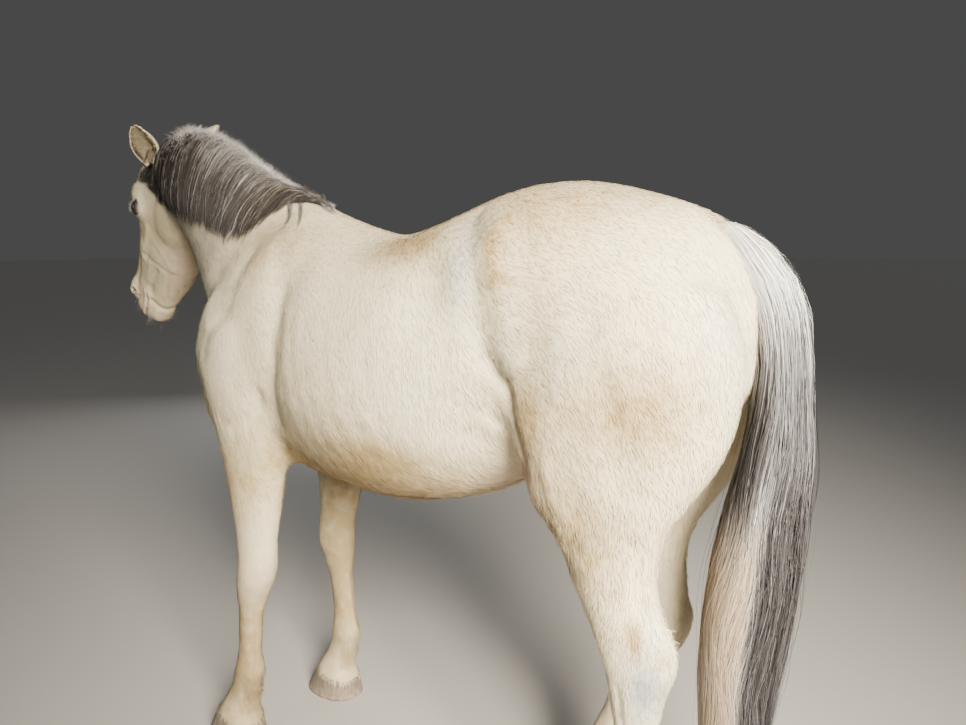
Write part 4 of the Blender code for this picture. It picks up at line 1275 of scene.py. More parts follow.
class Lie:
    """Which way the coat lies, and how long it is, all over the animal."""

    # Place, flow and length in mm, on the left side, in the frame's axes.
    body: tuple = (
        ((0.06, -0.72, 1.55), (0, 0.75, -0.6), 14),
        ((0.08, -0.62, 1.48), (0, 0.75, -0.65), 16),
        ((0.1, -0.5, 1.42), (0.1, 0.7, -0.7), 18),
        ((0.12, -0.4, 1.3), (0.1, 0.6, -0.8), 18),
        ((0.08, -0.6, 1.33), (0, 0.55, -0.85), 18),
        ((0, -0.6, 1.22), (0, 0.4, -0.9), 20),
        ((0, -0.68, 1.3), (0, 0.6, -0.8), 20),
        ((0.12, -0.25, 1.25), (0.1, 0.5, -0.85), 18),
        ((0.04, -0.35, 1.48), (0.3, 0.8, -0.5), 18),
        ((0.2, -0.2, 1.15), (0.1, 0.35, -0.92), 18),
        ((0.2, -0.3, 1), (0, 0.15, -1), 19),
        ((0.07, -0.42, 1.05), (0, 0.05, -1), 20),
        ((0, -0.35, 0.85), (0, 0.3, -1), 22),
        ((0.03, -0.1, 1.4), (0.2, 0.9, -0.2), 18),
        ((0, 0.15, 1.34), (0.1, 1, -0.05), 18),
        ((0.12, 0.1, 1.31), (0.1, 0.85, -0.45), 18),
        ((0.24, 0, 1.2), (0.1, 0.65, -0.75), 18),
        ((0.28, 0.2, 1.1), (0, 0.55, -0.85), 18),
        ((0.27, 0.35, 1.22), (0, 0.4, -0.9), 19),
        ((0.28, 0.38, 1.08), (0, 0.2, -0.98), 20),
        ((0.26, 0.2, 0.9), (0, 0.6, -0.8), 21),
        ((0.22, -0.03, 1), (0, 0.5, -0.85), 18),
        ((0.2, 0.3, 0.8), (-0.3, 0.8, -0.5), 25),
        ((0, 0.3, 0.73), (0, 1, 0), 28),
        ((0.1, -0.1, 0.75), (-0.2, 0.9, -0.2), 24),
        ((0.23, 0.47, 1.3), (0.1, 0.6, -0.8), 19),
        ((0.25, 0.5, 1.18), (0, 0.5, -0.85), 21),
        ((0.24, 0.48, 1.06), (0, -0.05, -1), 23),
        ((0.21, 0.5, 0.97), (0, 0.1, -1), 25),
        ((0.2, 0.55, 0.9), (0, 0.8, -0.6), 25),
        ((0.22, 0.57, 1), (0, 0.55, -0.8), 23),
        ((0.24, 0.57, 1.09), (0, 0.45, -0.9), 22),
        ((0.25, 0.62, 1.22), (0.1, 1, -0.15), 18),
        ((0.25, 0.64, 1.1), (0.1, 0.95, -0.3), 18),
        ((0.23, 0.67, 0.99), (0, 0.8, -0.6), 20),
        ((0, 0.64, 1.43), (0.1, 1, -0.1), 16),
        ((0.12, 0.5, 1.38), (0.2, 0.9, -0.3), 16),
        ((0.18, 0.64, 1.35), (0.2, 0.9, -0.4), 16),
        ((0.08, 0.85, 1.37), (0.1, 0.9, -0.4), 17),
        ((0.2, 0.8, 1.25), (0.1, 0.75, -0.65), 17),
        ((0.25, 0.86, 1.1), (0, 0.55, -0.85), 18),
        ((0.22, 0.98, 1.05), (-0.2, 0.4, -0.9), 18),
        ((0.1, 1.02, 1.15), (-0.1, 0.1, -1), 19),
        ((0.05, 1, 0.95), (0, 0, -1), 21),
        ((0.06, 0.85, 0.82), (0, 0, -1), 16),
        ((0.26, 0.75, 1), (0, 0.5, -0.85), 19),
        ((0.24, 0.8, 0.88), (0, 0.35, -0.92), 22),
        ((0.22, 0.66, 0.86), (-0.1, 0.25, -0.95), 24),
        ((0.2, 0.78, 0.75), (0, 0.15, -1), 23),
        ((0.15, 0.66, 0.72), (0, -0.1, -1), 27),
        ((0.16, -0.06, 0.84), (0, 0.55, -0.85), 26),
        ((0.2, -0.2, 0.8), (0, 0.1, -1), 17),
    )
    # The same, in the head's axes.
    face: tuple = (
        ((0.05, 0.03, 0), (-1, 0, 0), 11),
        ((0.095, 0.028, 0.04), (-0.6, 0, 0.8), 9),
        ((0.09, 0, 0.07), (-0.4, -0.6, 0.3), 9),
        ((0.16, 0.02, 0.03), (0.9, 0, 0.4), 8),
        ((0.22, 0.01, 0), (1, 0, 0), 8),
        ((0.35, 0, 0), (1, 0, 0), 7),
        ((0.46, -0.01, 0), (1, 0, 0), 5),
        ((0.55, -0.06, 0), (0.6, -0.8, 0), 3.5),
        ((0.06, -0.08, 0.07), (-0.3, -0.9, 0), 10),
        ((0.15, -0.12, 0.085), (0.1, -1, 0), 9),
        ((0.22, -0.08, 0.085), (0.6, -0.8, 0), 8),
        ((0.25, -0.16, 0.07), (0.3, -0.95, 0), 9),
        ((0.35, -0.08, 0.06), (0.9, -0.4, 0), 7),
        ((0.36, -0.15, 0.055), (0.8, -0.6, 0), 7),
        ((0.45, -0.1, 0.05), (0.9, -0.4, 0), 5),
        ((0.53, -0.09, 0.03), (0.5, -0.8, 0), 3.5),
        ((0.51, -0.17, 0.02), (0.1, -1, 0), 8),
        ((0.4, -0.21, 0.02), (-0.2, -1, 0), 12),
        ((0.28, -0.24, 0.02), (-0.6, -0.8, 0), 15),
        ((0.14, -0.24, 0.05), (-0.5, -0.85, 0), 13),
        ((0.02, -0.16, 0.05), (-0.6, -0.8, 0), 14),
    )
    # Height and length in mm down the legs.
    legs: tuple = (
        *((0, 10), (0.08, 14), (0.12, 12), (0.2, 13), (0.3, 11)),
        *((0.42, 11), (0.5, 13), (0.6, 13), (0.8, 17)),
    )
    body_reach: float = 0.075
    face_reach: float = 0.042

    def __init__(self) -> None:
        """Mirrors the guides onto the right side."""
        guides = []
        for (place, flow, length), side in product(self.body, ((1, 1, 1), (-1, 1, 1))):
            guides.append((np.multiply(place, side), unit(np.multiply(flow, side)), length, self.body_reach))
        for (place, flow, length), s in product(self.face, (1, -1)):
            at = np.array(HEAD.place(*place[:2], s * place[2]))
            guides.append((at, unit(HEAD.turned((*flow[:2], s * flow[2]))), length, self.face_reach))
        columns = [np.array(column, float) for column in zip(*guides)]
        self.places, self.flows, self.lengths, self.reaches = columns

    def at(self, points: Array, normals: Array) -> tuple[Array, Array]:
        """The flow along the surface and the length in metres, at points of the skin."""
        flow = np.empty_like(points)
        length = np.empty(len(points))
        for start in range(0, len(points), 40_000):
            part = slice(start, start + 40_000)
            gap = ((points[part, None, :] - self.places[None]) ** 2).sum(axis=2)
            weight = np.exp(-gap / (2 * self.reaches**2)) + 1e-4 / (gap + 1e-3)
            weight /= weight.sum(axis=1, keepdims=True)
            flow[part] = weight @ self.flows
            length[part] = weight @ self.lengths
        low = ease(0.74, 0.6, points[:, 2])[:, None]
        flow = unit(flow) * (1 - low) + np.array((0.0, 0.03, -1.0)) * low
        (on_leg,) = read_off(self.legs, points[:, 2])
        length = length * (1 - low[:, 0]) + on_leg * low[:, 0]
        for ear in EARS:
            along, across, facing = ear.local(points).T
            on = ease(-0.02, 0.12, along) * (np.hypot(across, facing) < 0.055) * (along < 1.2)
            flow = flow * (1 - on[:, None]) + ear.upward * on[:, None]
            length = length * (1 - on) + 5.0 * on
        return unit(laid(flow, normals)), length / 1000


def ripple(points: Array, size: float, seed: int, waves: int = 7) -> Array:
    """Smooth noise between about -1 and 1, whose humps are about size across."""
    draw = np.random.default_rng(seed)
    total = np.zeros(len(points))
    for _ in range(waves):
        wave = unit(draw.normal(size=3)) * (math.pi / size) * draw.uniform(0.6, 1.5)
        total += np.sin(points @ wave + draw.uniform(0, 2 * math.pi))
    return total / math.sqrt(waves)


def turn_about(vectors: Array, axes: Array, angles: Array) -> Array:
    """The vectors turned about axes at right angles to them."""
    c, s = np.cos(angles)[:, None], np.sin(angles)[:, None]
    return vectors * c + np.cross(axes, vectors) * s


# ---- tufts ----


@dataclass
class Roots:
    """Where tufts grow: place, normal, skin map place and marks of each, markings and painted shade."""

    points: Array
    normals: Array
    places: Array
    marks: Array



class Ground:
    """The skin as ground for tufts: it spreads roots and finds the surface again."""

    def __init__(self, skin: Piece) -> None:
        """Reads the skin's triangles, normals and map."""
        mesh = skin.data
        mesh.calc_loop_triangles()
        self.corners = read(mesh.loop_triangles, "vertices", 3, np.int32)
        loops = read(mesh.loop_triangles, "loops", 3, np.int32)
        self.map = read(mesh.uv_layers[BAKE_MAP].data, "uv", 2)[loops]
        self.points, self.normals = points_of(skin), normals_of(skin)
        self.marks = marks_at(self.points)
        a, b, c = (self.points[self.corners[:, i]] for i in range(3))
        self.areas = np.linalg.norm(np.cross(b - a, c - a), axis=1) / 2
        self.middles = (a + b + c) / 3
        self.facing = unit(self.normals[self.corners].sum(axis=1))
        self.tree = BVHTree.FromPolygons(self.points.tolist(), self.corners.tolist())

    def spread(self, density: Array, seed: int) -> Roots:
        """Roots spread evenly by density.

        Args:
            density: Tufts per square metre on each triangle.
            seed: The seed of the draw.

        Returns:
            The roots.
        """
        draw = np.random.default_rng(seed)
        share = np.cumsum(self.areas * density)
        count = int(share[-1])
        chosen = np.searchsorted(share, draw.uniform(0, share[-1], count))
        chosen = np.minimum(chosen, len(self.corners) - 1)
        u, v = draw.random((2, count))
        over = u + v > 1
        u[over], v[over] = 1 - u[over], 1 - v[over]
        parts = np.column_stack([1 - u - v, u, v])[:, :, None]
        corner = self.corners[chosen]
        return Roots(
            (self.points[corner] * parts).sum(axis=1),
            unit((self.normals[corner] * parts).sum(axis=1)),
            (self.map[chosen] * parts).sum(axis=1),
            (self.marks[corner] * parts).sum(axis=1),
        )


def clump_shift(points: Array, size: float, seed: int) -> Array:
    """From each point to the middle of its clump, which is about size across."""
    draw = np.random.default_rng(seed)
    table = draw.uniform(-0.45, 0.45, (4096, 3))
    cell = np.floor(points / size).astype(np.int64)
    best = np.full(len(points), np.inf)
    shift = np.zeros_like(points)
    for step in np.ndindex(3, 3, 3):
        near = cell + np.array(step) - 1
        key = (near * (73856093, 19349663, 83492791)).sum(axis=1) % 4096
        away = (near + 0.5 + table[key]) * size - points
        gap = (away**2).sum(axis=1)
        closer = gap < best
        best[closer] = gap[closer]
        shift[closer] = away[closer]
    return shift


def hair_pieces(
    name: str, rows: Array, faces: Array, places: Array, values: dict, facing: Array, softness: float
) -> list[Piece]:
    """Builds hairs of one shape as one or more pieces.

    Args:
        name: The pieces' name, which a number follows if there are several.
        rows: Each hair's points, (n, k, 3).
        faces: One hair's faces, as numbers of its points.
        places: Each point's place on the skin map, (n, k, 2).
        values: Attributes by name, with a value for each point.
        facing: The way each point's flat side faces, (n, k, 3).
        softness: How far the shading follows facing.

    Returns:
        The pieces.
    """
    count, each = rows.shape[:2]
    corners = faces.shape[1]
    most = MOST_TRIANGLES // (len(faces) * (corners - 2))
    parts = max(1, math.ceil(count / most))
    made = []
    for number, part in enumerate(np.array_split(np.arange(count), parts)):
        starts = (np.arange(len(part)) * each)[:, None, None]
        title = name if parts == 1 else f"{name}_{number + 1}"
        piece = add_mesh(title, rows[part].reshape(-1, 3), (starts + faces).reshape(-1, corners))
        layer = piece.data.uv_layers.new(name=BAKE_MAP)
        layer.data.foreach_set("uv", places[part][:, faces].astype(np.float32).ravel())
        for key, value in values.items():
            put_attribute(piece, key, value[part].reshape(-1, *value.shape[2:]))
        soften(piece, facing[part].reshape(-1, 3), softness)
        made.append(piece)
    return made


@dataclass
class Tufts:
    """Thin flat tufts of hair of three triangles each."""

    length: Array
    width: Array
    lift: Array
    clump: float = 0.55
    clump_size: float = 0.013
    sink: float = 0.0008
    swing: float = 0.13
    wave: float = 0.12
    softness: float = 0.82

    def mesh(self, name: str, roots: Roots, flow: Array, seed: int) -> list[Piece]:
        """Builds the tufts as one or more pieces.

        Args:
            name: The pieces' name, which a number follows if there are several.
            roots: Where they grow.
            flow: The way each lies, along the surface.
            seed: The seed of the draw.

        Returns:
            The pieces.
        """
        draw = np.random.default_rng(seed)
        count = len(roots.points)
        angle = draw.normal(0, self.swing, count)
        angle += self.wave * ripple(roots.points, 0.03, seed + 1)
        angle += 0.6 * self.wave * ripple(roots.points, 0.11, seed + 2)
        flow = unit(turn_about(flow, roots.normals, angle))
        across = np.cross(flow, roots.normals)
        across = turn_about(across, flow, draw.normal(0, 0.28, count))
        length = self.length * draw.uniform(0.72, 1.22, count)
        lift = self.lift * draw.uniform(0.5, 1.4, count)
        pull = clump_shift(roots.points, self.clump_size, seed + 3)
        pull = laid(laid(pull, flow), roots.normals) * self.clump
        base = roots.points - roots.normals * self.sink
        middle = roots.points + flow * (0.5 * length)[:, None]
        middle = middle + roots.normals * (0.75 * lift)[:, None] + pull * 0.35
        tip = roots.points + flow * length[:, None] + roots.normals * lift[:, None] + pull
        half = (across * (self.width / 2)[:, None], across * (self.width * 0.42)[:, None])
        rows = np.stack([base - half[0], base + half[0], middle - half[1], middle + half[1], tip], axis=1)
        spread = ripple(pull + roots.points, 0.02, seed + 4) * 0.55
        tone = np.clip(0.5 + 0.5 * spread + draw.normal(0, 0.24, count), 0, 1)
        patch = np.array(((-1, -1), (1, -1), (-1, 0), (1, 0), (0, 1))) * (BAKE_PATCH / 2)
        triangles = np.array(((0, 1, 3), (0, 3, 2), (2, 3, 4)))
        each = {"marks": roots.marks, "tone": tone}
        values = {key: np.repeat(value[:, None], 5, axis=1) for key, value in each.items()}
        facing = np.repeat(roots.normals[:, None], 5, axis=1)
        places = roots.places[:, None, :] + patch
        return hair_pieces(name, rows, triangles, places, values, facing, self.softness)


@dataclass
class Coat:
    """The short coat, in flat tufts over the whole skin."""

    cover: float = 1.55
    most: int = 205_000

    def build(self, ground: Ground, lie: Lie) -> list[Piece]:
        """Spreads the tufts and dresses them."""
        _, length = lie.at(ground.middles, ground.facing)
        density = self.cover / (length * self.width(length))
        density *= self.allowed(ground.middles)
        density *= min(1.0, self.most / (ground.areas * density).sum())
        roots = ground.spread(density, SEED)
        flow, length = lie.at(roots.points, roots.normals)
        _, y, z = roots.points.T
        gaskin = ease(0.92, 0.78, z) * ease(0.52, 0.62, z) * (y > 0.4)
        bend = 0.3 * gaskin * ripple(roots.points * (1, 1, 2.2), 0.02, SEED + 9)
        flow = turn_about(flow, roots.normals, bend)
        lift = 0.105 * length + 0.001 * gaskin + 0.0003
        return Tufts(length, self.width(length), lift).mesh("coat", roots, flow, SEED + 10)

    @staticmethod
    def width(length: Array) -> Array:
        """How wide a tuft of this length is."""
        return 0.00055 + 0.042 * length

    @staticmethod
    def allowed(points: Array) -> Array:
        """0 where no coat grows: in the hoofs, eyes, nostrils, lips and ear cups."""
        free = np.ones(len(points))
        free[points[:, 2] < Hoof.coronet(points)] = 0
        for eye in EYES:
            away, near = eye.lid_edge(points)
            free *= 1 - near * (1 - ease(0.003, 0.0062, away))
        head = HEAD.local(points)
        for s in (-1, 1):
            away = np.linalg.norm((head - (*NOSTRIL[:2], s * NOSTRIL[2])) / (1.2, 1.2, 0.9), axis=1)
            free *= ease(0.011, 0.018, away)
        lips = np.abs(head[:, 1] + 0.119 + 0.06 * (head[:, 0] < 0.5) * (0.5 - head[:, 0]))
        free *= 1 - (head[:, 0] > 0.46) * (np.abs(head[:, 2]) < 0.06) * (lips < 0.005)
        for ear in EARS:
            free *= 1 - 0.8 * ear.hollow(points)
        return free


# ---- longer hair of the coat ----


@dataclass(frozen=True)
class Fringe:
    """A patch of longer hair: its middle, its radii, how it hangs and how long it is."""

    place: Spot
    radii: Spot
    flow: Spot
    length: float
    lift: float
    density: float
    both: bool = True
    on_head: bool = False

    def centres(self) -> list[tuple[Array, Array]]:
        """Place and flow in the frame, on one side or both."""
        found = []
        for s in (1, -1) if self.both else (1,):
            if self.on_head:
                place = HEAD.place(*self.place[:2], s * self.place[2])
                flow = HEAD.turned((*self.flow[:2], s * self.flow[2]))
            else:
                place, flow = Vector(np.multiply(self.place, (s, 1, 1))), np.multiply(self.flow, (s, 1, 1))
            found.append((np.array(place), flow))
        return found


FRINGES = (
    Fringe((0, 0.905, 1.345), (0.036, 0.04, 0.03), (0, 0.85, -0.5), 0.05, 0.01, 60_000, both=False),
    Fringe((0.245, 0.545, 1), (0.06, 0.06, 0.06), (0.1, 0.35, -0.9), 0.034, 0.007, 9_000),
    Fringe((0.15, 0.02, 0.84), (0.06, 0.06, 0.05), (0.15, 0.55, -0.8), 0.046, 0.012, 14_000),
    Fringe((0.06, 0.2, 0.735), (0.09, 0.2, 0.03), (0, 0.8, -0.55), 0.036, 0.009, 12_000),
    Fringe((0.06, 0.48, 0.78), (0.08, 0.12, 0.04), (0, 0.6, -0.75), 0.038, 0.01, 12_000),
    Fringe((0.175, 0.655, 0.72), (0.05, 0.035, 0.06), (0.1, -0.45, -0.85), 0.038, 0.011, 14_000),
    Fringe((0.15, 0.9, 0.64), (0.04, 0.04, 0.06), (0, 0.45, -0.88), 0.026, 0.007, 14_000),
    Fringe((0, -0.47, 1.09), (0.06, 0.06, 0.08), (0, 0.1, -1), 0.032, 0.007, 9_000, both=False),
    Fringe((0.515, -0.18, 0.01), (0.03, 0.018, 0.022), (0.1, -1, 0.1), 0.016, 0.005, 40_000, on_head=True),
    Fringe((0.33, -0.235, 0.01), (0.12, 0.03, 0.03), (-0.45, -0.9, 0.1), 0.024, 0.008, 16_000, on_head=True),
    Fringe(
        (0.14, -0.255, 0.05), (0.06, 0.035, 0.025), (-0.35, -0.93, 0.1), 0.018, 0.006, 16_000, on_head=True
    ),
)


class LongCoat:
    """The hair that breaks the outline: belly, elbows, beard, fetlocks, coronets and ears."""

    fetlock: float = 0.15
    fetlock_reach: float = 0.045

    def build(self, ground: Ground, lie: Lie) -> list[Piece]:
        """Grows the fringes, the feather and the hair of the ears."""
        return [*self._fringes(ground, lie), *self._feather(ground), *self._ears(ground)]

    @staticmethod
    def _fringes(ground: Ground, lie: Lie) -> list[Piece]:
        """Tufts thinning out from the middle of each patch."""

        def share_of(fringe: Fringe, place: Array, points: Array) -> Array:
            gap = points - place
            if fringe.on_head:
                gap = gap @ HEAD.matrix
            return np.exp(-((gap / fringe.radii) ** 2).sum(axis=1) * 1.4)

        spots = [(fringe, *centre) for fringe in FRINGES for centre in fringe.centres()]
        dense, longest, highest = np.array([(f.density, f.length, f.lift) for f, _, _ in spots]).T
        shares = np.array([share_of(fringe, place, ground.middles) for fringe, place, _ in spots])
        density = (shares * dense[:, None]).max(axis=0) * (shares.max(axis=0) > 0.12)
        roots = ground.spread(density, SEED + 70)
        shares = np.array([share_of(fringe, place, roots.points) for fringe, place, _ in spots])
        best = shares.argmax(axis=0)
        share = shares.max(axis=0)
        flow, short = lie.at(roots.points, roots.normals)
        wanted = laid(np.array([spot[2] for spot in spots])[best], roots.normals)
        flow = unit(flow * (1 - share[:, None]) + unit(wanted) * share[:, None])
        length = short + (longest[best] - short) * share**0.6
        lift = highest[best] * share + 0.002
        tufts = Tufts(length, 0.0007 + 0.024 * length, lift, clump=0.8, clump_size=0.016, swing=0.2, wave=0.3)
        return tufts.mesh("coat_fringe", roots, flow, SEED + 71)

    def _feather(self, ground: Ground) -> list[Piece]:
        """Hair behind the fetlocks and the rim of hair that falls over each hoof."""

        def weigh(points: Array, normals: Array) -> tuple[Array, Array]:
            level = points[:, 2] - Hoof.coronet(points)
            low = points[:, 2] < 0.3
            rim = np.exp(-(((level - 0.006) / 0.007) ** 2)) * low * (level > 0)
            behind = ease(0.15, 0.75, normals[:, 1])
            tuft = behind * np.exp(-(((points[:, 2] - self.fetlock) / self.fetlock_reach) ** 2)) * low
            return rim, tuft

        rim, tuft = weigh(ground.middles, ground.facing)
        roots = ground.spread(rim * 130_000 + tuft * 75_000, SEED + 80)
        rim, tuft = weigh(roots.points, roots.normals)
        flow = np.array((0.0, 0.25, -1.0)) + roots.normals * 0.1
        flow = unit(laid(flow, roots.normals))
        length = 0.01 + 0.011 * rim + 0.03 * tuft**0.7
        lift = 0.0015 + 0.005 * rim + 0.012 * tuft
        width = 0.0007 + 0.022 * length
        tufts = Tufts(length, width, lift, clump=0.8, clump_size=0.012, swing=0.22, wave=0.3)
        return tufts.mesh("feather", roots, flow, SEED + 81)

    @staticmethod
    def _ears(ground: Ground) -> list[Piece]:
        """Soft pale hair on the rims of the ears and out of their cups."""

        def weigh(points: Array) -> Array:
            total = np.zeros(len(points))
            for ear in EARS:
                along, across, facing = ear.local(points).T
                wide = ear.sizes(np.clip(along, 0, 1))[0]
                rim = np.exp(-((np.abs(across / wide) - 0.97) ** 2) / 0.01) * (along > 0.1) * (along < 1.02)
                rim *= np.hypot(across, facing) < 0.05
                total += np.maximum(ear.hollow(points) * ease(0.95, 0.3, along), 0.55 * rim)
            return total

        roots = ground.spread(weigh(ground.middles) * 240_000, SEED + 90)
        draw = np.random.default_rng(SEED + 91)
        flow = np.zeros_like(roots.points)
        for ear in EARS:
            along, across, facing = ear.local(roots.points).T
            on = (np.hypot(across, facing) < 0.055) & (along > -0.2) & (along < 1.2)
            inward = -np.sign(across)[:, None] * ear.across * 0.5
            flow += on[:, None] * (ear.upward * 0.8 + inward + ear.facing * 0.55)
        flow = unit(flow + 1e-6)
        count = len(roots.points)
        length = draw.uniform(0.009, 0.017, count)
        lift = np.full(count, 0.0015)
        tufts = Tufts(length, np.full(count, 0.0008), lift, clump=0.4, clump_size=0.01, swing=0.3, wave=0.2)
        roots.marks[:, 3] *= 0.15
        return tufts.mesh("ear_hair", roots, flow, SEED + 92)


def spokes(roots: Array, heading: Array, length: Array, along: Array) -> Array:
    """Straight hairs from their roots, with points at shares of their lengths."""
    return roots[:, None, :] + heading[:, None, :] * (length[:, None] * along)[..., None]


@dataclass
class FaceHair:
    """Lashes over the eyes and whiskers on lips, chin and round the eyes."""

    lashes: int = 46
    whiskers: int = 110
    steps: int = 6

    def build(self, ground: Ground) -> list[Piece]:
        """Grows both."""
        return [*self._lashes(), *self._whiskers(ground)]

    def _lashes(self) -> list[Piece]:
        """Pale curved lashes along each upper lid."""
        made = []
        along = np.linspace(0, 1, self.steps)
        for eye in EYES:
            draw = np.random.default_rng(SEED + 100)
            angle = np.radians(draw.uniform(28, 158, self.lashes))
            reach = eye.rim(angle) + 0.0008
            c, s = np.cos(angle), np.sin(angle)
            rise = np.sqrt(np.maximum(eye.radius**2 - reach**2, 0)) + 0.0016
            root = np.column_stack([reach * c, reach * s, rise])
            outward = np.column_stack([0.55 * c, 0.15 + 0.15 * s, np.ones(self.lashes)])
            outward += draw.normal(0, 0.1, outward.shape)
            length = draw.uniform(0.009, 0.014, self.lashes)
            paths = spokes(root, unit(outward), length, along)
            paths[..., 1] -= 0.0045 * along**2
            paths = eye.world(paths.reshape(-1, 3)).reshape(paths.shape)
            facing = np.zeros_like(paths) + np.array(eye.up)
            tones = tones_of(np.full(paths.shape[:2], 0.18), 0.36, 0.6)
            places = np.column_stack([0.1 + 0.8 * draw.random(self.lashes), np.full(self.lashes, 0.02)])
            name = "lashes_" + eye.side.word
            made += Strands(0.00042, 0.9).mesh(name, paths, facing, places, tones, SEED + 101, 0.9)
        return made

    def _whiskers(self, ground: Ground) -> list[Piece]:
        """Stiff single hairs, longest on the chin."""
        draw = np.random.default_rng(SEED + 110)
        fields = (
            ((0.52, -0.145, 0.02), (0.018, 0.014, 0.02), 0.03, (0.4, -0.8, 0.4)),
            ((0.54, -0.085, 0.03), (0.02, 0.02, 0.016), 0.022, (0.7, -0.5, 0.6)),
            ((0.47, -0.1, 0.045), (0.03, 0.018, 0.006), 0.018, (0.3, -0.6, 0.8)),
            ((0.195, -0.075, 0.085), (0.02, 0.01, 0.006), 0.02, (0.4, -0.5, 0.8)),
        )
        roots, heading, length = [], [], []
        for i in range(self.whiskers):
            place, spread, size, turn = fields[min(i * 5 // self.whiskers, 3) if i % 3 else 0]
            s = 1 if i % 2 else -1
            at = np.array(place) + draw.normal(0, 0.5, 3) * spread
            hit, normal, _, _ = ground.tree.find_nearest(HEAD.place(at[0], at[1], s * at[2]))
            roots.append(hit)
            heading.append(unit(HEAD.turned((turn[0], turn[1], s * turn[2])) * 0.7 + np.array(normal)))
            length.append(size * draw.uniform(0.5, 1.1))
        length = np.array(length)
        along = np.linspace(0, 1, self.steps)
        paths = spokes(np.array(roots), np.array(heading), length, along)
        paths[..., 2] -= 0.2 * length[:, None] * along**2
        facing = np.zeros_like(paths) + HEAD.turned((1, 0, 0))
        tones = tones_of(np.full(paths.shape[:2], 0.35), 0.2, 0.5)
        places = np.column_stack([0.05 + 0.9 * draw.random(self.whiskers), np.full(self.whiskers, 0.02)])
        return Strands(0.0004, 0.8).mesh("whiskers", paths, facing, places, tones, SEED + 111, 0.9)


# ---- long hair ----


@dataclass
class Strands:
    """Long flat hairs along given paths, tapering to their tips."""

    width: float
    taper: float = 0.75
    roll: float = 0.6
    softness: float = 0.6

    def mesh(
        self, name: str, paths: Array, facing: Array, places: Array, tones: Array, seed: int, tall: float
    ) -> list[Piece]:
        """Builds the hairs as one or more pieces.

        Args:
            name: The pieces' name, which a number follows if there are several.
            paths: Points along each hair, (n, m, 3).
            facing: The way each point's flat side faces, (n, m, 3).
            places: Each hair's root on the skin map, (n, 2).
            tones: The hair's colours along it, (n, m, 4).
            seed: The seed of the draw.
            tall: How much of the map's height a whole hair takes.

        Returns:
            The pieces.
        """
        draw = np.random.default_rng(seed)
        count, steps = paths.shape[:2]
        run = unit(np.gradient(paths, axis=1))
        across = unit(np.cross(run, facing))
        angle = np.repeat(draw.normal(0, self.roll, count), steps)
        across = turn_about(across.reshape(-1, 3), run.reshape(-1, 3), angle).reshape(paths.shape)
        along = np.linspace(0, 1, steps)
        width = self.width * draw.uniform(0.6, 1.35, count)[:, None] * (1 - self.taper * along**2.2)
        width[:, -1] *= 0.25
        half = across * (width / 2)[..., None]
        rows = np.stack([paths - half, paths + half], axis=2)
        step = np.arange(steps - 1) * 2
        quads = np.stack([step, step + 1, step + 3, step + 2], axis=1)
        edge = np.array((-0.5, 0.5)) * BAKE_PATCH
        spot = np.empty((count, steps, 2, 2))
        spot[..., 0] = places[:, None, None, 0] + edge
        spot[..., 1] = (places[:, None, 1] + along * tall)[..., None]
        values = {"strand": np.repeat(tones, 2, axis=1)}
        facing = np.repeat(unit(facing), 2, axis=1)
        rows, spot = (each.reshape(count, 2 * steps, -1) for each in (rows, spot))
        return hair_pieces(name, rows, quads, spot, values, facing, self.softness)


def tones_of(dark: Array, warm: object, shine: object) -> Array:
    """The colours of strands: how dark, how stained and how light every point is."""
    return np.stack(np.broadcast_arrays(dark, warm, shine, 1.0), axis=2)


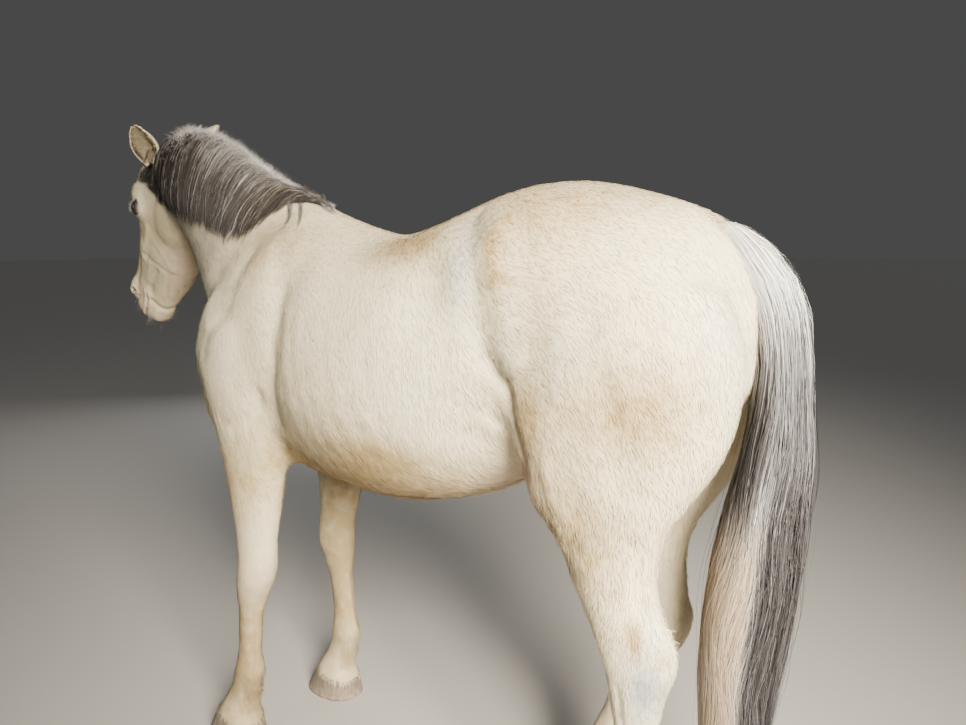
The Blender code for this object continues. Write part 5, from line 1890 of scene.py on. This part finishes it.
@dataclass
class Mane:
    """Hair that grows on the crest and falls over the left side of the neck."""

    strands: int = 15_000
    locks: int = 260
    steps: int = 10
    # y, x of the crest, height of the lower edge, depth of the hair.
    line: tuple = (
        (-0.85, -0.058, 1.505, 0.01),
        (-0.808, -0.056, 1.488, 0.012),
        (-0.768, -0.053, 1.452, 0.015),
        (-0.737, -0.049, 1.433, 0.017),
        (-0.692, -0.043, 1.414, 0.017),
        (-0.632, -0.033, 1.399, 0.018),
        (-0.562, -0.024, 1.388, 0.018),
        (-0.482, -0.015, 1.376, 0.02),
        (-0.392, -0.008, 1.362, 0.022),
        (-0.312, -0.003, 1.345, 0.023),
        (-0.247, 0.0, 1.318, 0.023),
        (-0.187, 0.0, 1.362, 0.022),
        (-0.132, 0.0, 1.395, 0.02),
        (-0.077, 0.0, 1.4, 0.014),
        (-0.027, 0.0, 1.376, 0.006),
    )
    front: float = -0.765
    back: float = -0.045
    # Two thin locks that hang loose over the shoulder, from root to tip.
    loose: tuple = (
        ((0.02, -0.165, 1.45), (0.052, -0.14, 1.419), (0.088, -0.114, 1.375), (0.12, -0.096, 1.318)),
        ((0.012, -0.13, 1.44), (0.04, -0.116, 1.422), (0.078, -0.078, 1.37), (0.106, -0.06, 1.328)),
    )

    def build(self, ground: Ground) -> list[Piece]:
        """Grows the locks, the short fuzz of the crest and the last thin locks."""
        self._measure(ground)
        return [*self._fall(), *self._fuzz(), *self._tuft(), *self._last_locks(ground)]

    def _measure(self, ground: Ground) -> None:
        """Finds the skin round the neck by turn from upright, for every place along it."""
        bare = np.ones(len(ground.middles), bool)
        for ear in EARS:
            along, across, facing = ear.local(ground.middles).T
            bare &= (along < 0.06) | (along > 1.2) | (np.hypot(across, facing) > 0.055)
        tree = BVHTree.FromPolygons(ground.points.tolist(), ground.corners[bare].tolist())
        self.ys = np.linspace(self.front - 0.1, self.back + 0.06, 70)
        self.turns = np.radians(np.linspace(-40, 112, 40))
        self.hits = np.zeros((len(self.ys), len(self.turns), 3))
        for i, y in enumerate(self.ys):
            x, low, _ = read_off(self.line, y)
            for j, turn in enumerate(self.turns):
                out = Vector((math.sin(turn), 0, math.cos(turn)))
                hit = tree.ray_cast(Vector((x, y, low)) + out * 0.6, -out)[0]
                self.hits[i, j] = hit if hit is not None else Vector((x, y, low)) + out * 0.1

    def _surface(self, y: Array, turn: Array) -> Array:
        """The skin at places along the neck and turns round it."""
        u, v = (
            np.clip((value - marks[0]) / (marks[-1] - marks[0]), 0, 1) * (len(marks) - 1.001)
            for value, marks in ((y, self.ys), (turn, self.turns))
        )
        i, j = u.astype(int), v.astype(int)
        a, b = (u - i)[..., None], (v - j)[..., None]
        h = self.hits
        low = h[i, j] * (1 - a) + h[i + 1, j] * a
        high = h[i, j + 1] * (1 - a) + h[i + 1, j + 1] * a
        return low * (1 - b) + high * b

    def _fall(self) -> list[Piece]:
        """The locks, each drawn together towards its tip."""
        draw = np.random.default_rng(SEED + 30)
        span = self.back - self.front
        lock_y = self.front + span * (np.arange(self.locks) + draw.uniform(0.1, 0.9, self.locks)) / self.locks
        lock = draw.integers(0, self.locks, self.strands)
        home = lock_y[lock]
        along = np.linspace(0, 1, self.steps)
        withers = ease(-0.2, -0.05, home)
        root_y = home + draw.normal(0, 1, self.strands) * (0.0075 + 0.007 * ease(-0.68, -0.755, home))
        reach = draw.uniform(0.86, 1.07, self.locks)[lock] * draw.uniform(0.82, 1.06, self.strands)
        reach = reach * (1 - 0.35 * withers)
        sweep = draw.normal(-0.004, 0.01, self.locks)[lock] - 0.042 * ease(-0.36, -0.15, home)
        sweep = (sweep - 0.07 * ease(-0.56, -0.735, home)) * reach
        start = np.radians(draw.normal(1.0, 6.5, self.strands))
        end = np.radians(93) * reach
        shape = along**0.92
        turn = start[:, None] + (end - start)[:, None] * shape
        gather = 1 - 0.62 * along
        wave = draw.uniform(0.002, 0.009, self.locks)[lock][:, None] * along
        phase = draw.uniform(0, 2 * math.pi, self.locks)[lock][:, None]
        y = home[:, None] + (root_y - home)[:, None] * gather + sweep[:, None] * along**1.3
        beat = draw.uniform(7.0, 12.0, self.locks)[lock][:, None]
        y = y + wave * np.sin(along * beat + phase)
        y = y + 0.0016 * along * np.sin(along * 15 + 2.4 * draw.normal(0, 1, self.strands)[:, None])
        thick = read_off(self.line, y)[2]
        layer = draw.uniform(0.18, 0.97, self.strands)[:, None]
        layer = layer * (0.9 + 0.1 * draw.random(self.locks)[lock][:, None])
        rise = np.sin(np.clip(along * 3.4, 0, 1) * math.pi / 2)
        depth = thick * layer * rise * (1 - 0.52 * along**2) + 0.0045
        out = np.stack([np.sin(turn), np.zeros_like(turn), np.cos(turn)], axis=2)
        paths = self._surface(y, turn) + out * depth[..., None]
        paths[:, 0] -= out[:, 0] * 0.004
        tones = self._tones(home, lock, along, draw)
        low = 0.02 + 0.02 * draw.random(self.strands)
        places = np.column_stack([(root_y - self.front) / span * 0.94 + 0.03, low])
        return Strands(0.001).mesh("mane_hair", paths, out, places, tones, SEED + 31, 0.94)

    def _tones(self, home: Array, lock: Array, along: Array, draw: Draw) -> Array:
        """White at the crest, charcoal below: darkest by the ear, paler and browner at the withers."""
        poll = ease(-0.42, -0.68, home)
        withers = ease(-0.3, -0.16, home)
        begin = 0.085 + draw.normal(0, 0.04, self.locks)[lock] + draw.normal(0, 0.06, len(home)) - 0.2 * poll
        power = 0.64 + 0.3 * draw.beta(1.4, 1.1, self.locks)[lock] + draw.normal(0, 0.1, len(home))
        power = power * (1 - 0.16 * ease(-0.5, -0.36, home) * (1 - withers)) + 0.16 * poll
        silver = draw.random(len(home)) < 0.11 - 0.03 * poll
        power = np.where(silver, power * draw.uniform(0.15, 0.6, len(home)), power)
        dark = power[:, None] * ease(0, 1, (along - begin[:, None]) / 0.3)
        dark = np.clip(dark + 0.1 * power[:, None] * ease(0.55, 1.0, along), 0, 1)
        warm = 0.16 + 0.22 * withers[:, None] + 0.16 * (1 - along)
        return tones_of(dark, warm, draw.random(len(home))[:, None])

    def _fuzz(self) -> list[Piece]:
        """Short white hair that stands on the crest and round the poll."""
        draw = np.random.default_rng(SEED + 40)
        count, steps = 7500, 5
        y = self.front + 0.08 + (self.back - self.front - 0.08) * draw.random(count) ** 1.15
        poll = ease(-0.56, -0.68, y)
        turn = np.radians(draw.normal(-5, 12, count))
        length = (0.017 + 0.014 * poll + 0.014 * draw.random(count)) * (1 - 0.4 * ease(-0.3, -0.1, y))
        along = np.linspace(0, 1, steps)
        lean = np.radians(draw.normal(26, 26, count))[:, None] * along**1.2
        spin = turn[:, None] + lean
        back = draw.normal(0.45, 0.35, count)[:, None] * along
        out = np.stack([np.sin(spin), back, np.cos(spin)], axis=2)
        base = self._surface(y, turn)
        paths = base[:, None, :] + out * (length[:, None] * along * 0.9)[..., None]
        paths[:, 0] -= out[:, 0] * 0.003
        dark = 0.04 + draw.uniform(0, 0.14, count) + 0.2 * ease(-0.25, -0.12, y) + 0.25 * ease(-0.64, -0.7, y)
        dark = dark[:, None] * np.ones(steps)
        return self._dress("crest_fuzz", 0.00065, paths, (1.0, 0.4, 0.3), dark, y, draw)

    def _tuft(self) -> list[Piece]:
        """The loose grey tuft that arches over where the crest meets the withers."""
        draw = np.random.default_rng(SEED + 43)
        count, steps, locks = 1700, 9, 44
        lock = draw.integers(0, locks, count)
        y = draw.uniform(-0.195, -0.03, locks)[lock] + draw.normal(0, 0.0045, count)
        turn = np.radians(draw.normal(4, 8, locks)[lock] + draw.normal(0, 4, count))
        high = ease(-0.19, -0.14, y) * ease(-0.04, -0.1, y)
        length = (0.026 + 0.024 * high) * draw.uniform(0.75, 1.15, locks)[lock]
        length = length * draw.uniform(0.7, 1.1, count)
        along = np.linspace(0, 1, steps)
        bend = (draw.normal(104, 12, locks)[lock] + draw.normal(0, 7, count)) * (1.15 - 0.25 * high)
        spin = turn[:, None] + np.radians(bend)[:, None] * along ** (0.55 + 0.35 * high)[:, None]
        slant = draw.normal(0.3, 0.16, locks)[lock][:, None] + 0.12 * np.sin(along * 5)
        step = np.stack([np.sin(spin), slant, np.cos(spin)], axis=2) * (length / steps)[:, None, None]
        paths = self._surface(y, turn)[:, None, :] + np.cumsum(step, axis=1) - step[:, :1]
        dark = draw.normal(0.2, 0.07, locks)[lock] + draw.normal(0, 0.06, count)
        dark = np.clip(dark[:, None] + 0.16 * along, 0, 1)
        return self._dress("withers_tuft", 0.0008, paths, (0.6, 0.3, 0.8), dark, y, draw)

    def _last_locks(self, ground: Ground) -> list[Piece]:
        """The two locks that have slipped behind the rest."""
        draw = np.random.default_rng(SEED + 46)
        steps, each = 11, 46
        along = np.linspace(0, 1, steps)
        paths = []
        for route in self.loose:
            route = np.array(route)
            marks = np.linspace(0, 1, len(route))
            for _ in range(each):
                reach = draw.uniform(0.6, 1.0)
                aside = draw.normal(0, 0.0045, 3) * (1.1 - 0.7 * along)[:, None]
                spots = [np.interp(along * reach, marks, column) for column in route.T]
                spots = np.column_stack(spots) + aside
                spots[:, 1] += 0.004 * np.sin(along * 8 + draw.uniform(0, 2.0))
                rise = draw.uniform(0.003, 0.008)
                for spot in spots:
                    hit, normal, _, _ = ground.tree.find_nearest(Vector(spot))
                    paths.append(np.array(hit + normal * rise))
        paths = np.array(paths).reshape(-1, steps, 3)
        dark = np.clip(draw.normal(0.55, 0.12, len(paths))[:, None] * (0.7 + 0.3 * along), 0, 1)
        return self._dress("loose_locks", 0.0007, paths, (0.8, 0.2, 0.6), dark, paths[:, 0, 1], draw)

    def _dress(
        self, name: str, width: float, paths: Array, facing: Spot, dark: Array, y: Array, draw: Draw
    ) -> list[Piece]:
        """Gives short hairs their colours and their places on the map."""
        facing = np.zeros_like(paths) + facing
        tones = tones_of(dark, 0.2, draw.random(len(paths))[:, None])
        share = (y - self.front) / (self.back - self.front)
        places = np.column_stack([np.clip(share * 0.9 + 0.05, 0.02, 0.98), 0.5 * np.ones(len(paths))])
        return Strands(width).mesh(name, paths, facing, places, tones, SEED + 41, 0.1)


@dataclass
class Forelock:
    """The tuft that falls from between the ears down the forehead."""

    strands: int = 900
    steps: int = 10

    def build(self, ground: Ground) -> list[Piece]:
        """Grows the strands over the forehead."""
        draw = np.random.default_rng(SEED + 50)
        along = np.linspace(0, 1, self.steps)
        start = draw.uniform(-0.03, 0.012, self.strands)
        reach = draw.uniform(0.1, 0.172, self.strands) - 0.02
        side = np.clip(draw.normal(0, 0.013, self.strands), -0.024, 0.024)
        lock = np.round(side / 0.007) * 0.007
        layer = draw.uniform(0.2, 1.0, self.strands)
        paths = np.empty((self.strands, self.steps, 3))
        for i in range(self.strands):
            for j, t in enumerate(along):
                a = start[i] + (reach[i] - start[i]) * t
                left = side[i] + (lock[i] * 0.6 - side[i]) * t * 0.7 + 0.002 * math.sin(9 * t + lock[i] * 900)
                probe = HEAD.place(a, 0.075, left + 0.004)
                hit, normal, _, _ = ground.tree.find_nearest(probe)
                rise = math.sin(min(t * 2.6, 1) * math.pi / 2) * 0.017 * layer[i] * (1 - 0.6 * t * t)
                paths[i, j] = hit + normal * (rise + 0.002)
        facing = np.zeros_like(paths) + HEAD.turned((0.1, 1, 0))
        shine = draw.random(self.strands)[:, None]
        dark = np.clip((0.25 + 0.6 * draw.random(self.strands))[:, None] * ease(0.1, 0.6, along), 0, 1)
        tones = tones_of(dark, 0.15, shine)
        places = np.column_stack([0.5 + side * 18, 0.03 * np.ones(self.strands)])
        return Strands(0.0018).mesh("forelock_hair", paths, facing, places, tones, SEED + 51, 0.9)


@dataclass
class Tail:
    """A full tail: a dock under silver hair, and long hair that falls between the hocks."""

    strands: int = 14_500
    locks: int = 460
    steps: int = 18
    dock_top: float = 1.345
    dock_end: float = 1.05
    # Height, front, back and half-width of the whole tail.
    outline: tuple = (
        (1.356, 0.886, 0.938, 0.02),
        (1.338, 0.886, 0.99, 0.034),
        (1.3, 0.898, 1.039, 0.042),
        (1.25, 0.938, 1.074, 0.045),
        (1.19, 0.978, 1.09, 0.046),
        (1.11, 0.998, 1.094, 0.05),
        (1.02, 0.998, 1.096, 0.057),
        (0.93, 0.984, 1.1, 0.064),
        (0.84, 0.96, 1.096, 0.068),
        (0.74, 0.94, 1.088, 0.07),
        (0.62, 0.926, 1.074, 0.069),
        (0.5, 0.918, 1.062, 0.066),
        (0.38, 0.92, 1.05, 0.058),
        (0.28, 0.934, 1.036, 0.044),
        (0.21, 0.954, 1.02, 0.026),
        (0.18, 0.972, 1.004, 0.01),
    )

    def sizes(self, z: Array) -> tuple[Array, Array, Array]:
        """The tail's middle, half-depth and half-width at heights."""
        front, back, half = read_off(self.outline, z)
        return (front + back) / 2, (back - front) / 2, half

    def build(self) -> list[Piece]:
        """Makes the dock and grows the locks."""
        return [self._dock(), *self._fall()]

    def _dock(self) -> Piece:
        """The fleshy core at the top of the tail, covered by the hair."""
        rings = []
        for z in np.linspace(self.dock_top, self.dock_end, 16):
            middle, deep, half = self.sizes(z)
            size = 0.78 - 0.3 * (self.dock_top - z) / (self.dock_top - self.dock_end)
            turns = np.linspace(0, 2 * math.pi, 25)[:-1]
            wide, thick, centre = half * size, deep * size, middle - 0.004
            rings.append([Vector((wide * math.cos(t), centre + thick * math.sin(t), z)) for t in turns])
        dock = loft("tail_dock", rings)
        shade_smooth(dock.data)
        dock.modifiers.new("round", "SUBSURF")
        apply_modifiers(dock)
        return dock

    def _fall(self) -> list[Piece]:
        """The locks, each drawn together on its way down."""
        draw = np.random.default_rng(SEED + 60)
        n, along = self.strands, np.linspace(0, 1, self.steps)
        lock = draw.integers(0, self.locks, n)
        lock_turn = draw.uniform(0, 2 * math.pi, self.locks)
        lock_layer = draw.uniform(0.25, 0.93, self.locks) ** 0.7
        lock_end = 0.185 + 0.55 * draw.beta(1.0, 3.2, self.locks)
        root_z = self.dock_top - (self.dock_top - self.dock_end) * draw.random(n) ** 1.25
        root_turn = lock_turn[lock] + draw.normal(0, 0.34, n)
        end_z = lock_end[lock] + np.abs(draw.normal(0, 0.05, n))
        short = draw.random(n) < 0.2
        end_z = np.where(short, root_z - draw.uniform(0.06, 0.3, n), end_z)
        z = root_z[:, None] + (end_z - root_z)[:, None] * along
        fallen = np.clip((root_z[:, None] - z) / 0.55, 0, 1)
        gather = 1 - 0.66 * ease(0, 1, fallen)
        turn = lock_turn[lock][:, None] + (root_turn - lock_turn[lock])[:, None] * gather
        phase = draw.uniform(0, 2 * math.pi, self.locks)[lock][:, None]
        size = draw.uniform(0.4, 1.0, self.locks)[lock][:, None]
        beat = draw.uniform(16, 30, self.locks)[lock][:, None]
        turn = turn + 0.1 * size * fallen * np.sin(z * beat + phase)
        turn = turn + 0.13 * fallen * np.sin(z * 19 + 1.4 * np.sin(lock_turn[lock] * 2)[:, None])
        layer = 0.6 + (lock_layer[lock] - 0.6)[:, None] * ease(0, 0.5, fallen)
        layer = layer + (draw.normal(0, 0.1, n))[:, None] * (0.25 + 0.75 * gather)
        layer = layer + 0.08 * size * fallen * np.sin(z * beat * 0.8 + phase * 1.7)
        layer = layer + (short * draw.uniform(0.0, 0.24, n))[:, None] * along**2
        stray = (draw.random(n) < 0.02)[:, None] * ease(0.1, 0.8, fallen) * 0.25
        loose = 0.12 * ease(1.18, 1.0, z) * ease(0.25, 0.6, z)
        layer = np.clip(layer, 0.15, 0.97) * (1 + loose) + stray
        layer = layer * (1 - 0.35 * ease(0.1, 0.0, along))
        middle, deep, half = self.sizes(z)
        x = half * layer * np.cos(turn) + 0.004 * np.sin(z * 7 + 1.0) * fallen
        y = middle + deep * layer * np.sin(turn)
        paths = np.stack([x, y, z], axis=2)
        out = np.stack([np.cos(turn), np.sin(turn), np.zeros_like(turn)], axis=2)
        tones = self._tones(paths, lock, draw)
        round_dock = (root_turn / (2 * math.pi)) % 1 * 0.96 + 0.02
        places = np.column_stack([round_dock, (self.dock_top - root_z) * 0.5])
        return Strands(0.0009, softness=0.7).mesh("tail_hair", paths, out, places, tones, SEED + 61, 0.82)

    def _tones(self, paths: Array, lock: Array, draw: Draw) -> Array:
        """Silver at the dock, charcoal at both edges lower down, and a cream-stained fall."""
        z = paths[..., 2]
        middle, deep, half = self.sizes(z)
        edge = np.clip((-0.28 * paths[..., 0] / half + 0.96 * (paths[..., 1] - middle) / deep), -1, 1)
        grey = 0.5 * ease(1.27, 1.03, z)
        grey = grey + 0.17 * ease(-0.3, -0.65, edge) * ease(1.1, 1.0, z) * ease(0.78, 0.88, z)
        grey = grey + 0.25 * ease(0.02, 0.26, edge) * ease(0.95, 0.84, z)
        grey = grey + 0.03 * ease(0.1, 0.5, edge) * ease(1.1, 1.0, z)
        grey = grey - 0.2 * np.exp(-(((edge + 0.2) / 0.18) ** 2)) * ease(0.97, 0.88, z)
        low = ease(0.9, 0.7, z) * ease(0.16, -0.14, edge)
        grey = grey * (1 - 0.8 * low)
        lean = 0.2 * (draw.random(self.locks)[lock] - 0.5)
        own = draw.normal(0, 0.11, len(z)) + np.where(draw.random(len(z)) < 0.18, 0.26, 0)
        dark = grey + (lean + own)[:, None] * ease(0.0, 0.22, grey)
        dark = np.where((draw.random(len(z)) < 0.07)[:, None], dark * 0.5, dark) + 0.04
        warm = 0.05 + 1.1 * low * (0.55 + 0.45 * draw.random(self.locks)[lock][:, None])
        return tones_of(np.clip(dark, 0, 1), np.clip(warm, 0, 1), draw.random(len(z))[:, None])


# ---- eyes ----


@dataclass
class Eyeball:
    """One eye: a ball with a raised cornea, its own axes kept for iris and pupil."""

    place: EyePlace
    cornea_rise: float = 0.0012
    cornea_half: float = 0.0135

    def build(self) -> Piece:
        """Turns the ball's pole along the gaze and swells its cornea."""
        bpy.ops.mesh.primitive_uv_sphere_add(segments=64, ring_count=40, radius=self.place.radius)
        ball = bpy.context.active_object
        ball.name = ball.data.name = "eyeball_" + self.place.side.word
        local = points_of(ball)
        reach = np.hypot(local[:, 0], local[:, 1])
        front = ease(-0.2, 0.2, local[:, 2] / self.place.radius)
        local[:, 2] += front * self.cornea_rise * ease(self.cornea_half, 0.0, reach)
        put_points(ball, self.place.world(local))
        select_only(ball)
        bpy.ops.object.mode_set(mode="EDIT")
        bpy.ops.mesh.select_all(action="SELECT")
        bpy.ops.mesh.normals_make_consistent(inside=False)
        bpy.ops.object.mode_set(mode="OBJECT")
        shade_smooth(ball.data)
        put_attribute(ball, "gaze", np.column_stack([local, np.ones(len(local))]))
        return ball


# ---- hoofs ----


@dataclass
class Hoof:
    """One hoof: a wall with growth rings, over its own solid's shape."""

    name: str
    voxel: float = 0.0032
    ring_gap: float = 0.0075
    ring_height: float = 0.0004

    def build(self) -> Piece:
        """Smooths a copy of the solid, keeps its sole flat and raises the rings."""
        hoof = copy_of(self.name)
        hoof.name = hoof.data.name = self.name + "_horn"
        remesh(hoof, self.voxel)
        points = points_of(hoof)
        low = points[:, 2].min()
        relax(hoof, 14, 0.85 * ease(low + 0.001, low + 0.008, points[:, 2]))
        points, normals = points_of(hoof), normals_of(hoof)
        level = points[:, 2] - self.coronet(points)
        wall = ease(0.6, 0.3, np.abs(normals[:, 2])) * ease(-0.004, -0.01, level)
        wall = wall * ease(0.004, 0.012, points[:, 2])
        wave = np.sin(2 * math.pi * level / self.ring_gap + 0.8 * np.sin(points[:, 0] * 40))
        points += normals * (wall * self.ring_height * wave)[:, None]
        band = np.exp(-(((level + 0.004) / 0.004) ** 2))
        points += normals * (band * 0.001)[:, None]
        points[:, 2] = np.where(points[:, 2] < 0.0022, 0.0, points[:, 2])
        put_points(hoof, points)
        shade_smooth(hoof.data)
        return hoof

    @staticmethod
    def coronet(points: Array) -> Array:
        """The height of the coronet over each point, by the hoof that it is nearest to."""
        middles = np.array([middle_of(name) for name in HOOFS])
        nearest = np.abs(points[:, None, :2] - middles[:, :2]).sum(axis=2).argmin(axis=1)
        return HOOF_TOP - HOOF_SLOPE * (points[:, 1] - middles[nearest, 1])


# ---- studio ----


@dataclass
class Studio:
    """A plain pale floor, soft lights and the camera."""

    lens: float = 30.72
    place: Spot = (1.4446, 1.4485, 1.3152)
    yaw: float = math.radians(-125.85)
    pitch: float = math.radians(8.444)
    roll: float = math.radians(-0.239)
    floor_colour: Colour = (0.36, 0.345, 0.325, 1.0)

    def build(self) -> None:
        """Sets the stage."""
        self._floor()
        self._camera()
        self._lights()

    def _floor(self) -> None:
        """A plain matt floor at z = 0."""
        bpy.ops.mesh.primitive_plane_add(size=120, location=(0, 0, 0))
        floor = bpy.context.active_object
        floor.name = floor.data.name = "floor"
        made, _, shader = new_material("studio_floor", 0.9)
        shader.inputs["Base Color"].default_value = self.floor_colour
        floor.data.materials.append(made)

    def _camera(self) -> None:
        """The camera behind the left hip, above the floor."""
        data = bpy.data.cameras.new("camera")
        data.lens = self.lens
        data.clip_end = 200
        camera = link("camera", data)
        flat = math.cos(self.pitch)
        ahead = Vector((math.sin(self.yaw) * flat, math.cos(self.yaw) * flat, -math.sin(self.pitch)))
        right = ahead.cross(Vector((0, 0, 1))).normalized()
        up = right.cross(ahead)
        c, s = math.cos(self.roll), math.sin(self.roll)
        turned = Matrix((right * c + up * s, up * c - right * s, -ahead)).transposed()
        camera.matrix_world = Matrix.Translation(self.place) @ turned.to_4x4()
        bpy.context.scene.camera = camera

    def _lights(self) -> None:
        """A high window behind the far side, a broad key by the camera and soft fills."""
        sun = bpy.data.lights.new("window", "SUN")
        sun.energy, sun.angle, sun.color = 0.42, math.radians(24), (0.93, 0.96, 1.0)
        lamp = link("window", sun)
        lamp.rotation_euler = Vector((0.66, -0.2, -0.95)).to_track_quat("-Z", "Y").to_euler()
        self._soft_box("key", (1.8, 2.9, 2.2), (0.2, 1.1, 0.95), 1.3, 125, (1.0, 0.91, 0.76), 65)
        self._soft_box("front_fill", (3.4, -3.0, 2.2), (0.0, -0.4, 1.1), 2.6, 12)
        self._soft_box("far_fill", (-3.2, -3.4, 2.4), (0.0, -0.2, 1.0), 3.0, 48)
        world = bpy.data.worlds.new("sky")
        world.use_nodes = True
        back = world.node_tree.nodes["Background"]
        back.inputs["Color"].default_value = (0.6, 0.6, 0.6, 1.0)
        back.inputs["Strength"].default_value = 0.12
        bpy.context.scene.world = world

    @staticmethod
    def _soft_box(
        name: str,
        place: Spot,
        aim: Spot,
        size: float,
        power: float,
        colour: Spot = (1, 1, 1),
        spread: float = 180,
    ) -> None:
        """A square lamp at a place, aimed at its target."""
        data = bpy.data.lights.new(name, "AREA")
        data.size, data.energy, data.color, data.spread = size, power, colour, math.radians(spread)
        lamp = link(name, data)
        turned = (Vector(aim) - Vector(place)).to_track_quat("-Z", "Y").to_matrix()
        lamp.matrix_world = Matrix.Translation(place) @ turned.to_4x4()


def main() -> None:
    """Builds the pony and its stage, one piece after another."""
    bpy.ops.object.select_all(action="DESELECT")
    coat = WhiteCoat("white_coat", 0.62, bare=False).material()
    hair = LongHair("long_hair").material()
    body = Skin().build()
    ground = Ground(body)
    put_attribute(body, "marks", ground.marks)
    # An even, lower tone for the skin: a little darker than the tufts, as painted shade between the hairs.
    put_attribute(body, "tone", np.full(len(ground.points), 0.35))
    flesh = WhiteCoat("coat_skin", 0.7, bare=True).material()
    finish_piece(body, flesh, (*FLESH, "ear_left", "ear_right"))
    lie = Lie()
    dress_all([*Coat().build(ground, lie), *LongCoat().build(ground, lie)], coat)
    horn = Horn("hoof_horn").material()
    for name in HOOFS:
        finish_piece(Hoof(name).build(), horn, (name,))
    wet = DarkEye("dark_eye").material()
    for eye in EYES:
        finish_piece(Eyeball(eye).build(), wet, ("eye_" + eye.side.word,))
    dress_all(FaceHair().build(ground), hair)
    dress_all(Mane().build(ground), hair, ("mane",))
    dress_all(Forelock().build(ground), hair, ("forelock",))
    dock, *falls = Tail().build()
    finish_piece(dock, DockSkin("dock_skin").material(), ("tail",))
    dress_all(falls, hair, ("tail",))
    Studio().build()


if __name__ == "__main__":
    logging.basicConfig(level=logging.INFO)
    main()
